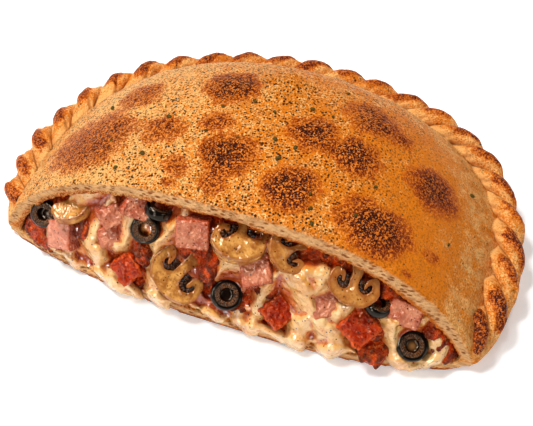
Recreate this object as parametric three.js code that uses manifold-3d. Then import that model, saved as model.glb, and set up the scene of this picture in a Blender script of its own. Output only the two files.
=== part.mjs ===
// A folded calzone, baked whole and cut open along its straight front.
//
// Millimetres, +Z up. X runs along the cut, Y goes from the cut to the back, and the origin lies on
// the table under the middle of the footprint. The crust is one hollow shell of dough: a thin floor,
// a puffed dome and a twisted rope round the curved edge. The filling runs through it and shows at
// the cut: tomato sauce, melted cheese over it, and mushroom slices, ham cubes and olive rings.

import * as THREE from "three";
import { mergeVertices } from "three/addons/utils/BufferGeometryUtils.js";
import Module from "manifold-3d";

const wasm = await Module();
wasm.setup();

// Clearance between pieces that touch, and the shift from the cut's plane to the footprint's middle
const GAP = 0.3;
const CUT_TO_MIDDLE = 78;

// Corners nearer than this are one corner; blocks that only cut or bound reach this far
const WELD = 1e-3;
const REACH = 220;
const TABLE_MARGIN = 10;
const HIGHEST = 200;

// Crust
const FLOOR_THICKNESS = 5.5;
const FLOOR_BULGE = 18.8;
const FLOOR_BULGE_AT = 6;
const FLOOR_HALF_WIDTH = 134;
const FLOOR_LEFT_POWER = 2.4;
const FLOOR_RIGHT_POWER = 3.2;
const FLOOR_STEPS = 24;
const EDGE = { halfWidth: 149.5, back: 124, front: 115, middleY: 49, power: 2.24, leftPower: 2.07 };
const FOOT_POWER = 2.6;
const WALL_PROFILE = [[0, 0], [0.94, 0], [0.98, 3.5], [1, 8], [0.99, 13], [0.94, 17], [0.8, 18], [0, 18]];
const WALL_SPOKES = 52;
const DOME = {
  halfWidth: 138.5, back: 116.5, front: 223, middleY: 49, power: 2.24, leftPower: 2.07,
  spring: 8, rise: 73, lipRise: 69.5, crown: 2.6, lipCrown: 3, fall: 0.85, lipFall: 0.69,
  spokes: 48, rings: 10,
};
const CAVITY = {
  halfWidth: 132, back: 108, front: 212, middleY: 49, power: 2.24, leftPower: 2.07,
  spring: 6, rise: 66, lipRise: 66, crown: 2.6, lipCrown: 3, fall: 0.9, lipFall: 0.74,
  spokes: 32, rings: 6,
};
const LIP_REACH = 60;
const LIP_RISE_REACH = 35;
const DOME_FOOT = 3;
const UNDERSIDE_SHARE = 0.985;

// Rope of twisted dough
const ROPE = { halfWidth: 139, back: 117.5, front: 117.5, middleY: 49, power: 2.24, leftPower: 2.07 };
const ROPE_HEIGHT = 15.2;
const ROPE_END_ANGLE = 0.36;
const ROPE_RADIUS = 10.8;
const ROPE_GROOVE_RADIUS = 6.4;
const ROPE_STRANDS = 3;
const ROPE_STRAND_CORNERS = 4;
const ROPE_STRAND_POWER = 0.6;
const ROPE_LOBE_LENGTH = 21;
const ROPE_TAPER = 15;
const ROPE_END_SCALE = 0.6;
const ROPE_SINK = 4;
const ROPE_SWELLS = [{ share: 0.05, length: 17, from: 0 }, { share: 0.03, length: 7.3, from: 1 }];
const ROPE_LINE_STEPS = 60;

// Herb flakes baked onto the dome: how many, their size and proportions, and where they may lie
const FLAKE_COUNT = 24;
const FLAKE_SIZE = 1.8;
const FLAKE_SIZES = [0.7, 1.2];
const FLAKE_PROPORTIONS = [1, 0.7, 0.55];
const FLAKE_RAISE = 0.2;
const FLAKE_FIELD = { x: [-112, 118], y: [8, 145], lowest: 42 };
const FLAKE_SEED = 71;

// The filling leans back from the floor's edge to the lip, and its pieces look out and up
const FACE_TOP_DEPTH = 5;
const FACE_EDGE_SETBACK = 2.5;
const FACE_LIP_GAP = 1.5;
const FACE_POWER = 1.5;
const FACE_TURN = 20;
const FACE_TILT = 50.4;
const BLOB_FADE_POWER = 5;
const CEILING_OVERLAP = 3;
const ROOM_BOTTOM = 0.5;
const ROOM_TOP = 100;

// The blocks from which sauce and cheese are cut; the cheese recedes towards both ends
const SAUCE_BLOCK = { setback: 6, halfWidth: 129, bottom: 2, back: 250, columns: 26, rows: 7 };
const CHEESE_BLOCK = { setback: 1.5, halfWidth: 124, bottom: 1.5, back: 45, columns: 40, rows: 11 };
const CHEESE_RECEDE = { from: 100, over: 24, depth: 14 };
const CHEESE_GAP = 0.45;

// Blobs of the sauce: place along the cut, height, half width, half height, how far it stands out
const SAUCE_BLOBS = [
  [-120, 15, 12, 12, 8], [-112, 9, 12, 8, 9], [-98, 36, 9, 9, 8], [-82, 30, 6, 7, 9],
  [-45, 33, 7, 7, 11], [-47, 12, 9, 6, 6], [-7, 38, 6, 13, 10], [10, 17, 8, 6, 8],
  [24, 32, 6, 6, 8], [-76, 13, 6, 6, 6], [87, 10, 11, 8, 13], [84, 24, 8, 9, 9],
  [118, 22, 10, 12, 9], [124, 10, 8, 7, 8], [60, 58, 12, 7, 6], [90, 47, 9, 7, 7],
];

// Blobs and drips of the melted cheese, in the same form
const CHEESE_BLOBS = [
  [-78, 47, 10, 9, 5], [-83, 38, 9, 8, 5], [-76, 20, 7, 11, 6.5], [-58, 45, 8, 10, 5.5],
  [-106, 13, 7, 8, 5], [-62, 4, 10, 6, 8], [-92, 6, 9, 6, 6.5], [-31, 58, 9, 9, 5],
  [-35, 46, 8, 11, 5], [-38, 9, 10, 12, 8.5], [2, 39, 9, 8, 4.5], [-11, 50, 9, 8, 3.5],
  [8, 6, 9, 6, 7], [20, 4, 8, 5, 8.5], [41, 37, 15, 14, 6], [33, 46, 10, 8, 4],
  [49, 7, 9, 8, 7.5], [61, 5, 7, 8, 8.5], [57, 19, 15, 13, 6.5], [66, 28, 9, 8, 5],
  [94, 29, 10, 11, 5.5], [100, 7, 9, 9, 8], [113, 10, 8, 6, 5], [30, 8, 9, 7, 6.5],
  [-51, 38, 9, 8, 4.5], [-70, 14, 9, 8, 5], [-82, 6, 8, 6, 5.5], [-18, 12, 8, 9, 4.5],
];

// Olive rings: place along the cut, height, diameter, turn sideways and nod of the ring's face
const OLIVES = [
  { x: -110, z: 27, size: 15.4, tip: -14, nod: 8, proud: 5.5 },
  { x: -45, z: 47, size: 16, tip: -12, nod: 8, proud: 3.6 },
  { x: 4, z: 23, size: 16.8, tip: 4, nod: -3, proud: 3.4 },
  { x: 105, z: 16, size: 16.6, tip: -5, nod: -6, proud: 3.6 },
  { x: -39, z: 60, size: 15, tip: 35, nod: -50, proud: -0.5 },
  { x: 84, z: 39, size: 15, tip: 20, nod: -35, proud: 1.5 },
];
const OLIVE_LENGTH = 6.5;
const OLIVE_HOLE = 0.4;
const OLIVE_SHOULDER = [1.4, 1.6];
const OLIVE_SPOKES = 16;
const OLIVE_POCKET = { scale: 1.06, sides: 10 };

// Mushroom slices: place, cap width, thickness, which way the cap points, and how the face leans
const MUSHROOMS = [
  { x: -92, z: 41, size: 23, thick: 7, turn: 200, tip: -10, nod: -25, proud: 2.5 },
  { x: -24, z: 26, size: 33, thick: 6, turn: 128, tip: 4, nod: 6, proud: 2.8 },
  { x: 7, z: 57, size: 30, thick: 8, turn: 175, tip: 6, nod: -22, proud: 3 },
  { x: 33, z: 58, size: 24, thick: 7, turn: 110, tip: 14, nod: -4, proud: 2 },
  { x: 70, z: 48, size: 27, thick: 6, turn: 160, tip: 0, nod: 0, proud: 3 },
];
const SLICE_BEVEL = 1;
const SLICE_CURVE_STEPS = 3;
const SLICE_POCKET_GROWTH = 3;

// The outline of a slice in shares of half its width, from the stem's foot round the cap and back:
// the first corner, then the controls and end of each curve. Its pocket has no hollows for the gills.
const SLICE_OUTLINE = [
  [-0.3, -0.75], [-0.25, -0.3, -0.28, 0], [-0.4, 0.14, -0.56, -0.04], [-0.6, -0.25, -0.78, -0.34],
  [-1.05, -0.15, -0.98, 0.2], [-0.85, 0.95, 0.85, 0.95, 0.98, 0.2], [1.05, -0.15, 0.78, -0.34],
  [0.6, -0.25, 0.56, -0.04], [0.4, 0.14, 0.28, 0], [0.25, -0.3, 0.3, -0.75],
];
const SLICE_POCKET_OUTLINE = [
  [-0.3, -0.75], [-0.75, -0.4], [-1.05, -0.15, -0.98, 0.2], [-0.85, 0.95, 0.85, 0.95, 0.98, 0.2],
  [1.05, -0.15, 0.78, -0.34], [0.75, -0.4], [0.3, -0.75],
];
const OUTLINE_STEPS = { 2: "lineTo", 4: "quadraticCurveTo", 6: "bezierCurveTo" };

// Ham cubes: place, the three sides, turn in the face, turn sideways and nod, and how far they show
const HAMS = [
  { x: -95, z: 23, size: [16, 17, 16], turn: -8, tip: -32, nod: 10, proud: 5 },
  { x: -67, z: 48, size: [14, 12, 13], turn: 30, tip: 12, nod: 20, proud: 3.5 },
  { x: -51, z: 58, size: [18, 13, 14], turn: -22, tip: 10, nod: 12, proud: 2.5 },
  { x: -66, z: 35, size: [13, 12, 12], turn: 12, tip: -10, nod: 8, proud: 1.5 },
  { x: -18, z: 56, size: [18, 17, 17], turn: -6, tip: -8, nod: 24, proud: 5 },
  { x: 19, z: 43, size: [16, 16.5, 15], turn: 9, tip: -8, nod: -8, proud: 5 },
  { x: 57, z: 34, size: [15, 14, 13], turn: 14, tip: 0, nod: 4, proud: 1.6 },
  { x: 98, z: 37, size: [17, 14, 15], turn: -20, tip: -6, nod: 18, proud: 2.8 },
  { x: -53, z: 20, size: [15, 15, 14], turn: 32, tip: -20, nod: 12, proud: 6 },
  { x: 32, z: 22, size: [15, 15, 14], turn: 40, tip: 12, nod: 4, proud: 4.5 },
  { x: 77, z: 25, size: [17.5, 17.5, 16], turn: 42, tip: -6, nod: 2, proud: 6 },
];
const HAM_LEAN = 0.08;
const HAM_WEDGE = 0.06;
const HAM_FULLNESS = 1.02;
const HAM_BLUNTNESS = 0.035;
const HAM_SEED = { base: 500, x: 3, z: 7 };

// In which order the pieces lie from the front, as places in their lists
const FRONT_OLIVES = [0, 1, 2, 3];
const FRONT_HAMS = [10, 5, 8, 0, 4, 9];
const SLICES = [1, 4, 2, 3, 0];
const REAR_HAMS = [7, 2, 1, 6, 3];
const REAR_OLIVES = [4, 5];

// A repeatable stream of numbers from 0 to 1
const RANDOM_FACTOR = 16807;
const RANDOM_PERIOD = 2147483647;

function randomStream(seed) {
  let state = seed;
  return () => {
    state = (state * RANDOM_FACTOR) % RANDOM_PERIOD;
    return state / RANDOM_PERIOD;
  };
}

const DEGREE = Math.PI / 180;
const mix = (a, b, share) => a + (b - a) * share;
const clamp = (value) => Math.min(Math.max(value, 0), 1);

// The cosine or sine of a direction, bent so that a circle becomes an oval of the given power
const bent = (value, power) => Math.sign(value) * Math.abs(value) ** (2 / power);

// ---- Solids and meshes ----

function toSolid(geometry) {
  const bare = geometry.clone();
  bare.deleteAttribute("uv");
  bare.deleteAttribute("normal");
  const merged = mergeVertices(bare, WELD);
  return new wasm.Manifold(new wasm.Mesh({
    numProp: 3,
    vertProperties: new Float32Array(merged.attributes.position.array),
    triVerts: new Uint32Array(merged.index.array),
  }));
}

// The largest of the pieces that a cut leaves
function largest(solid) {
  return solid.decompose().sort((a, b) => b.volume() - a.volume())[0];
}

function toMesh(name, solid, material) {
  const cut = solid.getMesh();
  const geometry = new THREE.BufferGeometry();
  geometry.setAttribute("position", new THREE.BufferAttribute(new Float32Array(cut.vertProperties), 3));
  geometry.setIndex(new THREE.BufferAttribute(new Uint32Array(cut.triVerts), 1));
  geometry.computeVertexNormals();
  const mesh = new THREE.Mesh(geometry, material);
  mesh.name = name;
  return mesh;
}

// Moves every corner of a geometry by a function of its place
function reshape(geometry, move) {
  const corners = geometry.attributes.position;
  const corner = new THREE.Vector3();
  for (let i = 0; i < corners.count; i += 1) {
    corner.fromBufferAttribute(corners, i);
    move(corner);
    corners.setXYZ(i, corner.x, corner.y, corner.z);
  }
  return geometry;
}

// ---- Crust ----

// A place on an oval, at a share of the way out in a direction
function ovalPlace(oval, share, direction, power) {
  const own = power ?? (Math.cos(direction) < 0 ? oval.leftPower : oval.power);
  const depth = Math.sin(direction) > 0 ? oval.back : oval.front;
  return [
    share * oval.halfWidth * bent(Math.cos(direction), own),
    oval.middleY + share * depth * bent(Math.sin(direction), own),
  ];
}

// A turned profile of [share of the oval, height] pairs, spread over an oval
function ovalTurning(profile, oval, spokes, footPower = null) {
  const turning = new THREE.LatheGeometry(profile.map(([r, z]) => new THREE.Vector2(r, z)), spokes);
  turning.rotateX(Math.PI / 2);
  return reshape(turning, (corner) => {
    const share = Math.hypot(corner.x, corner.y);
    const power = footPower && corner.z < 1 ? footPower : undefined;
    [corner.x, corner.y] = ovalPlace(oval, share, Math.atan2(corner.y, corner.x), power);
  });
}

// The height of a domed shell over a place in plan: fuller by the lip than round the back
function heightOver(shell, x, y) {
  const depth = y > shell.middleY ? shell.back : shell.front;
  const power = x < 0 ? shell.leftPower : shell.power;
  const across = Math.abs(x / shell.halfWidth) ** power;
  const share = (across + Math.abs((y - shell.middleY) / depth) ** power) ** (1 / power);
  const away = clamp(y / LIP_REACH);
  const inside = Math.max(1 - share ** mix(shell.lipCrown, shell.crown, away), 0);
  const rise = mix(shell.lipRise, shell.rise, Math.sin(clamp(y / LIP_RISE_REACH) * Math.PI / 2));
  return shell.spring + rise * inside ** mix(shell.lipFall, shell.fall, away);
}

// A dome over a flat floor, in rings that crowd towards its steep edge
function domedSolid(shell, floor) {
  const profile = [[0, floor], [UNDERSIDE_SHARE, floor]];
  for (let ring = 0; ring < shell.rings; ring += 1) {
    profile.push([Math.cos(ring / shell.rings * Math.PI / 2), shell.spring]);
  }
  profile.push([0, shell.spring]);
  const turning = ovalTurning(profile, shell, shell.spokes);
  return toSolid(reshape(turning, (corner) => {
    if (corner.z > (floor + shell.spring) / 2) {
      corner.z = heightOver(shell, corner.x, corner.y);
    }
  }));
}

// The hollow for the filling, made smaller by a clearance where the filling itself is wanted
function cavitySolid(clearance) {
  const shell = { ...CAVITY };
  shell.halfWidth -= clearance;
  shell.back -= clearance;
  shell.rise -= clearance;
  shell.lipRise -= clearance;
  return domedSolid(shell, FLOOR_THICKNESS + clearance);
}

// The floor's rounded wall, which swells out under the rope
function wallSolid() {
  return toSolid(ovalTurning(WALL_PROFILE, EDGE, WALL_SPOKES, FOOT_POWER));
}

// The rope's middle line from its left end round the back to its right end
function ropeLine() {
  const points = [];
  for (let step = 0; step <= ROPE_LINE_STEPS; step += 1) {
    const angle = mix(Math.PI + ROPE_END_ANGLE, -ROPE_END_ANGLE, step / ROPE_LINE_STEPS);
    points.push(new THREE.Vector3(...ovalPlace(ROPE, 1, angle), ROPE_HEIGHT));
  }
  return new THREE.CatmullRomCurve3(points);
}

// Three strands that wind from the inner side over the top to the outer side. Each step along the
// rope turns it by one corner of its section, so that the edges follow the strands.
function ropeSolid() {
  const line = ropeLine();
  const length = line.getLength();
  const twist = 2 * Math.PI / (ROPE_STRANDS * ROPE_LOBE_LENGTH);
  const corners = ROPE_STRAND_CORNERS * ROPE_STRANDS;
  const steps = Math.round(length * twist * corners / (2 * Math.PI));
  const tube = new THREE.CylinderGeometry(1, 1, 1, corners, steps);
  reshape(tube, (corner) => {
    const share = clamp(0.5 - corner.y);
    const run = share * length;
    const middle = line.getPointAt(share);
    const ahead = line.getTangentAt(share);
    const strandAngle = Math.atan2(corner.z, corner.x);
    const angle = strandAngle - twist * run;
    const lobe = Math.abs(Math.cos(ROPE_STRANDS / 2 * strandAngle)) ** ROPE_STRAND_POWER;
    const toEnd = clamp(Math.min(run, length - run) / ROPE_TAPER);
    const taper = mix(ROPE_END_SCALE, 1, Math.sin(toEnd * Math.PI / 2));
    let swell = 1;
    for (const wave of ROPE_SWELLS) {
      swell += wave.share * Math.sin(run / wave.length + wave.from);
    }
    const section = taper * swell * mix(ROPE_GROOVE_RADIUS, ROPE_RADIUS, lobe);
    const radius = section * Math.hypot(corner.x, corner.z);
    const out = radius * Math.cos(angle);
    const sink = (1 - toEnd) * ROPE_SINK;
    corner.set(middle.x - ahead.y * out, middle.y + ahead.x * out,
      middle.z - sink + radius * Math.sin(angle));
  });
  return toSolid(tube);
}

// How far in front of the cut's plane the floor's edge lies
function floorEdge(x) {
  const right = x > FLOOR_BULGE_AT;
  const span = right ? FLOOR_HALF_WIDTH - FLOOR_BULGE_AT : FLOOR_HALF_WIDTH + FLOOR_BULGE_AT;
  const share = Math.min(Math.abs(x - FLOOR_BULGE_AT) / span, 1);
  return -FLOOR_BULGE * (1 - share ** (right ? FLOOR_RIGHT_POWER : FLOOR_LEFT_POWER));
}

// All the space in front of the floor's edge, from one height to another
function spaceInFront(bottom, top, clearance) {
  const outline = new THREE.Shape();
  outline.moveTo(-REACH, -REACH);
  outline.lineTo(REACH, -REACH);
  outline.lineTo(REACH, -clearance);
  for (let step = 0; step <= FLOOR_STEPS; step += 1) {
    const x = FLOOR_HALF_WIDTH * Math.cos(step / FLOOR_STEPS * Math.PI);
    outline.lineTo(x, floorEdge(x) - clearance);
  }
  outline.lineTo(-REACH, -clearance);
  const slab = new THREE.ExtrudeGeometry(outline, { depth: top - bottom, bevelEnabled: false });
  slab.translate(0, 0, bottom);
  return toSolid(slab);
}

// All the space over the floor in front of the cut's plane
function spaceOverFloor(clearance) {
  const block = new THREE.BoxGeometry(2 * REACH, REACH, REACH);
  block.translate(0, -REACH / 2 - clearance, REACH / 2 + FLOOR_THICKNESS + clearance);
  return toSolid(block);
}

// Small flat flakes scattered over the dome, each half sunk into it
function flakeSolids() {
  const random = randomStream(FLAKE_SEED);
  const flakes = [];
  while (flakes.length < FLAKE_COUNT) {
    const x = mix(...FLAKE_FIELD.x, random());
    const y = mix(...FLAKE_FIELD.y, random());
    const height = heightOver(DOME, x, y);
    if (height > FLAKE_FIELD.lowest) {
      const flake = new THREE.OctahedronGeometry(FLAKE_SIZE * mix(...FLAKE_SIZES, random()));
      flake.scale(...FLAKE_PROPORTIONS);
      flake.rotateZ(random() * Math.PI);
      flake.translate(x, y, height + FLAKE_RAISE);
      flakes.push(toSolid(flake));
    }
  }
  return flakes;
}

function crustSolid() {
  const dome = domedSolid(DOME, DOME_FOOT);
  const dough = wasm.Manifold.union([dome, wallSolid(), ropeSolid(), ...flakeSolids()]);
  const openings = wasm.Manifold.union([
    cavitySolid(0),
    spaceInFront(-TABLE_MARGIN, HIGHEST, 0),
    spaceOverFloor(0),
  ]);
  return largest(dough.subtract(openings));
}

// ---- Filling ----

// The height of the hollow's ceiling at the cut
function ceiling(x) {
  return heightOver(CAVITY, x, 0);
}

// How far behind the cut's plane the filling's face lies, from the floor's edge up to the lip
function faceDepth(x, z) {
  const edge = floorEdge(x) + FACE_EDGE_SETBACK;
  const height = ceiling(x) - FLOOR_THICKNESS - FACE_LIP_GAP;
  const rise = clamp((z - FLOOR_THICKNESS) / Math.max(height, 1));
  return mix(edge, FACE_TOP_DEPTH, rise ** FACE_POWER);
}

// How far the blobs stand out at a place on the face; they fade out under the lip
function blobHeight(blobs, x, z) {
  const rise = clamp((z - FLOOR_THICKNESS) / Math.max(ceiling(x) - FLOOR_THICKNESS, 1));
  const fade = 1 - rise ** BLOB_FADE_POWER;
  let height = 0;
  for (const [middleX, middleZ, halfWidth, halfHeight, standOut] of blobs) {
    const away = ((x - middleX) / halfWidth) ** 2 + ((z - middleZ) / halfHeight) ** 2;
    height = Math.max(height, standOut * Math.sqrt(Math.max(1 - away, 0)));
  }
  return height * fade;
}

// A block whose front follows a function of the place along the cut and the height
function faceBlock(size, front) {
  const block = new THREE.BoxGeometry(2, 2, 2, size.columns, 1, size.rows);
  reshape(block, (corner) => {
    const x = corner.x * size.halfWidth;
    const z = mix(size.bottom, ceiling(x) + CEILING_OVERLAP, (corner.z + 1) / 2);
    const y = corner.y < 0 ? faceDepth(x, z) + size.setback - front(x, z) : size.back;
    corner.set(x, y, z);
  });
  return toSolid(block);
}

// The sauce fills the hollow; the same block, brought forward, clears the cheese from it
function sauceBlock(clearance) {
  return faceBlock(SAUCE_BLOCK, (x, z) => blobHeight(SAUCE_BLOBS, x, z) + clearance);
}

function cheeseBlock() {
  return faceBlock(CHEESE_BLOCK, (x, z) => {
    const beyond = clamp((Math.abs(x) - CHEESE_RECEDE.from) / CHEESE_RECEDE.over);
    return blobHeight(CHEESE_BLOBS, x, z) - CHEESE_RECEDE.depth * beyond ** 2;
  });
}

// Turns a piece made in its own frame, which looks along +Z, out of the filling's face
function setInFace(geometry, piece, depth) {
  const turn = FACE_TURN * DEGREE;
  const tilt = FACE_TILT * DEGREE;
  const right = new THREE.Vector3(Math.cos(turn), Math.sin(turn), 0);
  const outward = new THREE.Vector3(
    Math.sin(turn) * Math.cos(tilt), -Math.cos(turn) * Math.cos(tilt), Math.sin(tilt));
  const up = new THREE.Vector3().crossVectors(outward, right);
  geometry.rotateZ((piece.turn ?? 0) * DEGREE);
  geometry.rotateX(piece.nod * DEGREE);
  geometry.rotateY(piece.tip * DEGREE);
  geometry.translate(0, 0, piece.proud - depth / 2);
  geometry.applyMatrix4(new THREE.Matrix4().makeBasis(right, up, outward));
  geometry.translate(piece.x, faceDepth(piece.x, piece.z), piece.z);
  return toSolid(geometry);
}

// A ring with rounded edges; its pocket is a plain disc
function oliveSolid(piece, clearance) {
  const radius = piece.size / 2 + clearance;
  const half = OLIVE_LENGTH / 2 + clearance;
  let ring;
  if (clearance > 0) {
    const { scale, sides } = OLIVE_POCKET;
    ring = new THREE.CylinderGeometry(radius * scale, radius * scale, 2 * half, sides);
  } else {
    const hole = radius * OLIVE_HOLE;
    const [inwards, down] = OLIVE_SHOULDER;
    const profile = [
      [hole, -half], [radius - inwards, -half], [radius, -half + down], [radius, half - down],
      [radius - inwards, half], [hole, half], [hole, -half],
    ];
    ring = new THREE.LatheGeometry(profile.map(([r, z]) => new THREE.Vector2(r, z)), OLIVE_SPOKES);
  }
  ring.rotateX(Math.PI / 2);
  return setInFace(ring, piece, OLIVE_LENGTH);
}

// The outline of a sliced mushroom, or of its pocket
function mushroomOutline(width, parts) {
  const outline = new THREE.Shape();
  const [foot, ...steps] = parts.map((part) => part.map((share) => share * width / 2));
  outline.moveTo(...foot);
  for (const step of steps) {
    outline[OUTLINE_STEPS[step.length]](...step);
  }
  outline.closePath();
  return outline;
}

function mushroomSolid(piece, clearance) {
  const plain = clearance > 0;
  const bevel = plain ? 0 : SLICE_BEVEL;
  const depth = piece.thick + 2 * clearance;
  const outline = mushroomOutline(piece.size, plain ? SLICE_POCKET_OUTLINE : SLICE_OUTLINE);
  const slice = new THREE.ExtrudeGeometry(outline, {
    depth: depth - 2 * bevel,
    bevelEnabled: !plain,
    bevelThickness: bevel,
    bevelSize: bevel,
    bevelOffset: -bevel,
    bevelSegments: 1,
    curveSegments: SLICE_CURVE_STEPS,
  });
  slice.translate(0, 0, bevel - depth / 2);
  const growth = 1 + SLICE_POCKET_GROWTH * clearance / piece.size;
  slice.scale(growth, growth, 1);
  return setInFace(slice, piece, piece.thick);
}

// A cube cut by hand: its corners are blunt and its sides a little full
function hamSolid(piece, clearance) {
  const [width, height, depth] = piece.size;
  const random = randomStream(HAM_SEED.base + piece.x * HAM_SEED.x + piece.z * HAM_SEED.z);
  const lean = mix(-HAM_LEAN, HAM_LEAN, random());
  const wedge = mix(-HAM_WEDGE, HAM_WEDGE, random());
  const parts = clearance > 0 ? 1 : 2;
  const cube = new THREE.BoxGeometry(2, 2, 2, parts, parts, parts);
  reshape(cube, (corner) => {
    const sides = Math.abs(corner.x) + Math.abs(corner.y) + Math.abs(corner.z);
    const bluntness = clearance > 0 ? 0 : HAM_BLUNTNESS;
    corner.multiplyScalar(HAM_FULLNESS - bluntness * (sides - 1));
    corner.x = corner.x * (width / 2 + clearance) + lean * width * corner.y / 2;
    corner.y = corner.y * (height / 2 + clearance) * (1 + wedge * corner.z);
    corner.z *= depth / 2 + clearance;
  });
  return setInFace(cube, piece, depth);
}

// ---- Assembly ----

const finish = (color, roughness) => new THREE.MeshStandardMaterial({ color, roughness, metalness: 0 });

const listed = (order, list, make, kind) =>
  order.map((i) => ({ piece: list[i], make, kind, name: `${kind}_${i + 1}` }));

// The pieces in the face, the frontmost first, because each is cut by those before it
const PIECES = [
  ...listed(FRONT_OLIVES, OLIVES, oliveSolid, "olive"),
  ...listed(FRONT_HAMS, HAMS, hamSolid, "ham"),
  ...listed(SLICES, MUSHROOMS, mushroomSolid, "mushroom"),
  ...listed(REAR_HAMS, HAMS, hamSolid, "ham"),
  ...listed(REAR_OLIVES, OLIVES, oliveSolid, "olive"),
];
const FINISHES = {
  olive: () => finish(0x1a1512, 0.35),
  ham: () => finish(0xc46a5c, 0.4),
  mushroom: () => finish(0xc9a070, 0.45),
};

const calzone = new THREE.Group();
calzone.add(toMesh("crust", crustSolid(), finish(0xc98a45, 0.7)));

const room = wasm.Manifold.union([
  cavitySolid(GAP),
  spaceInFront(ROOM_BOTTOM, ROOM_TOP, GAP),
  spaceOverFloor(GAP),
]);
const pockets = [];
for (const { piece, make, kind, name } of PIECES) {
  const body = make(piece, 0).intersect(room);
  const solid = largest(pockets.length ? body.subtract(wasm.Manifold.union(pockets)) : body);
  pockets.push(make(piece, GAP));
  calzone.add(toMesh(name, solid, FINISHES[kind]()));
}
const allPockets = wasm.Manifold.union(pockets);

const sauce = sauceBlock(0).intersect(room).subtract(allPockets);
calzone.add(toMesh("sauce", largest(sauce), finish(0xa0321a, 0.35)));

const cheeseBounds = wasm.Manifold.union([sauceBlock(CHEESE_GAP), allPockets]);
const cheese = cheeseBlock().intersect(room).subtract(cheeseBounds);
calzone.add(toMesh("cheese", largest(cheese), finish(0xe6c48e, 0.3)));

calzone.position.y = -CUT_TO_MIDDLE;

export default calzone;
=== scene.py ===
"""A calzone, cut open along its straight front, with its filling showing.

Sizes are millimetres while a piece is shaped, with the cut in the plane y = 0 and the table at z = 0.
seat() then brings the piece into the frame, in metres.
"""

import math
import random

import bmesh
import bpy
import numpy as np
from mathutils import Matrix, Vector, noise


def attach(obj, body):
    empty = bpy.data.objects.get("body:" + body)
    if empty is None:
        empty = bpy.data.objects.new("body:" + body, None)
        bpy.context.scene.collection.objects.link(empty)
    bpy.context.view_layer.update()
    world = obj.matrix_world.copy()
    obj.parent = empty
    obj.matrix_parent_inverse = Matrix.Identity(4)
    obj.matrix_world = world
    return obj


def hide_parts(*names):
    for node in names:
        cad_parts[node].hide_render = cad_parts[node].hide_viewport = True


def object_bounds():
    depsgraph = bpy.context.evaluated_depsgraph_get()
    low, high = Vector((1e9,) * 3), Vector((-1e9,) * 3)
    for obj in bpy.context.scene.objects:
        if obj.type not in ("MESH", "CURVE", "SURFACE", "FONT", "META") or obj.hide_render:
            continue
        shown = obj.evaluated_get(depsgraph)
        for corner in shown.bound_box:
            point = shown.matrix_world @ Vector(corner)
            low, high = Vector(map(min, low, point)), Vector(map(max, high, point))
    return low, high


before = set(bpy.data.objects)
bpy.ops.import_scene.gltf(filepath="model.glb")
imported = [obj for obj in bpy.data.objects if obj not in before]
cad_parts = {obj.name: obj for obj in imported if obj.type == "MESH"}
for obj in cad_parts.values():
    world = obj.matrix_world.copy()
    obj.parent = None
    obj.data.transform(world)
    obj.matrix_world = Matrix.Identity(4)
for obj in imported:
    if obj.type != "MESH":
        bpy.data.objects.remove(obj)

cad_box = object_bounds()


# ---- Shell -----------------------------------------------------------
# One round of wheat dough, folded over the filling and baked: a thin floor, a puffed dome and the
# rounded wall where the two layers meet. It was cut open along the front, which bares the crumb.

MM = 0.001
# The frame's middle lies so far behind the cut
CUT_TO_MIDDLE = 78
FLOOR_THICKNESS = 5.5
FLOOR_BULGE = 18.8
FLOOR_BULGE_AT = 6
FLOOR_HALF_WIDTH = 134
LIP_REACH = 60
LIP_RISE_REACH = 35
# An oval in plan: where its middle lies, how square it is, and how far it reaches to each side
OVAL = {"middle": 49, "power": 2.24, "left_power": 2.07}
EDGE = {**OVAL, "half_width": 149.5, "back": 124, "front": 115}
# A dome springs from a height and rises over its oval; crown and fall are how full it is inside and by
# its rim, and the values by the lip are its own
DOME = {
    **OVAL, "half_width": 138.5, "back": 116.5, "front": 223, "spring": 8, "rise": 73, "lip_rise": 69.5,
    "crown": 2.6, "lip_crown": 3, "fall": 0.85, "lip_fall": 0.69,
}
CAVITY = {
    **OVAL, "half_width": 132, "back": 108, "front": 212, "spring": 6, "rise": 66, "lip_rise": 66,
    "crown": 2.6, "lip_crown": 3, "fall": 0.9, "lip_fall": 0.74,
}
WALL_PROFILE = [(0, 0), (0.94, 0), (0.98, 3.5), (1, 8), (0.99, 13), (0.94, 17), (0.8, 18), (0, 18)]
DOME_FOOT = 3
SPACE_REACH = 220
SHELL_GRAIN = 1.08
SHELL_THINNING = 0.27
# The cut of the lip leans back, and its lower edge sags a little over the filling
LIP_LEAN = 1.4
LIP_DROOP = 3.4
LIP_SOFTNESS = 11
# Small creases run from the rope up the dome
CREASES = 92
CREASE_HEIGHT = 0.7


def mix(a, b, share):
    return a + (b - a) * share


def clamp(value):
    return np.clip(value, 0, 1)


def bent(value, power):
    """The cosine or sine of a direction, bent so that a circle becomes an oval of that power."""
    return np.sign(value) * np.abs(value) ** (2 / power)


def oval_place(oval, share, direction):
    """A place on an oval, at a share of the way out in a direction."""
    across, along = np.cos(direction), np.sin(direction)
    power = np.where(across < 0, oval["left_power"], oval["power"])
    depth = share * np.where(along > 0, oval["back"], oval["front"])
    return share * oval["half_width"] * bent(across, power), oval["middle"] + depth * bent(along, power)


def out_from_middle(oval, x, y):
    """How far out over an oval a place lies, across and along it, as shares of the way to its rim."""
    depth = np.where(y > oval["middle"], oval["back"], oval["front"])
    return np.abs(x / oval["half_width"]), np.abs((y - oval["middle"]) / depth)


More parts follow.
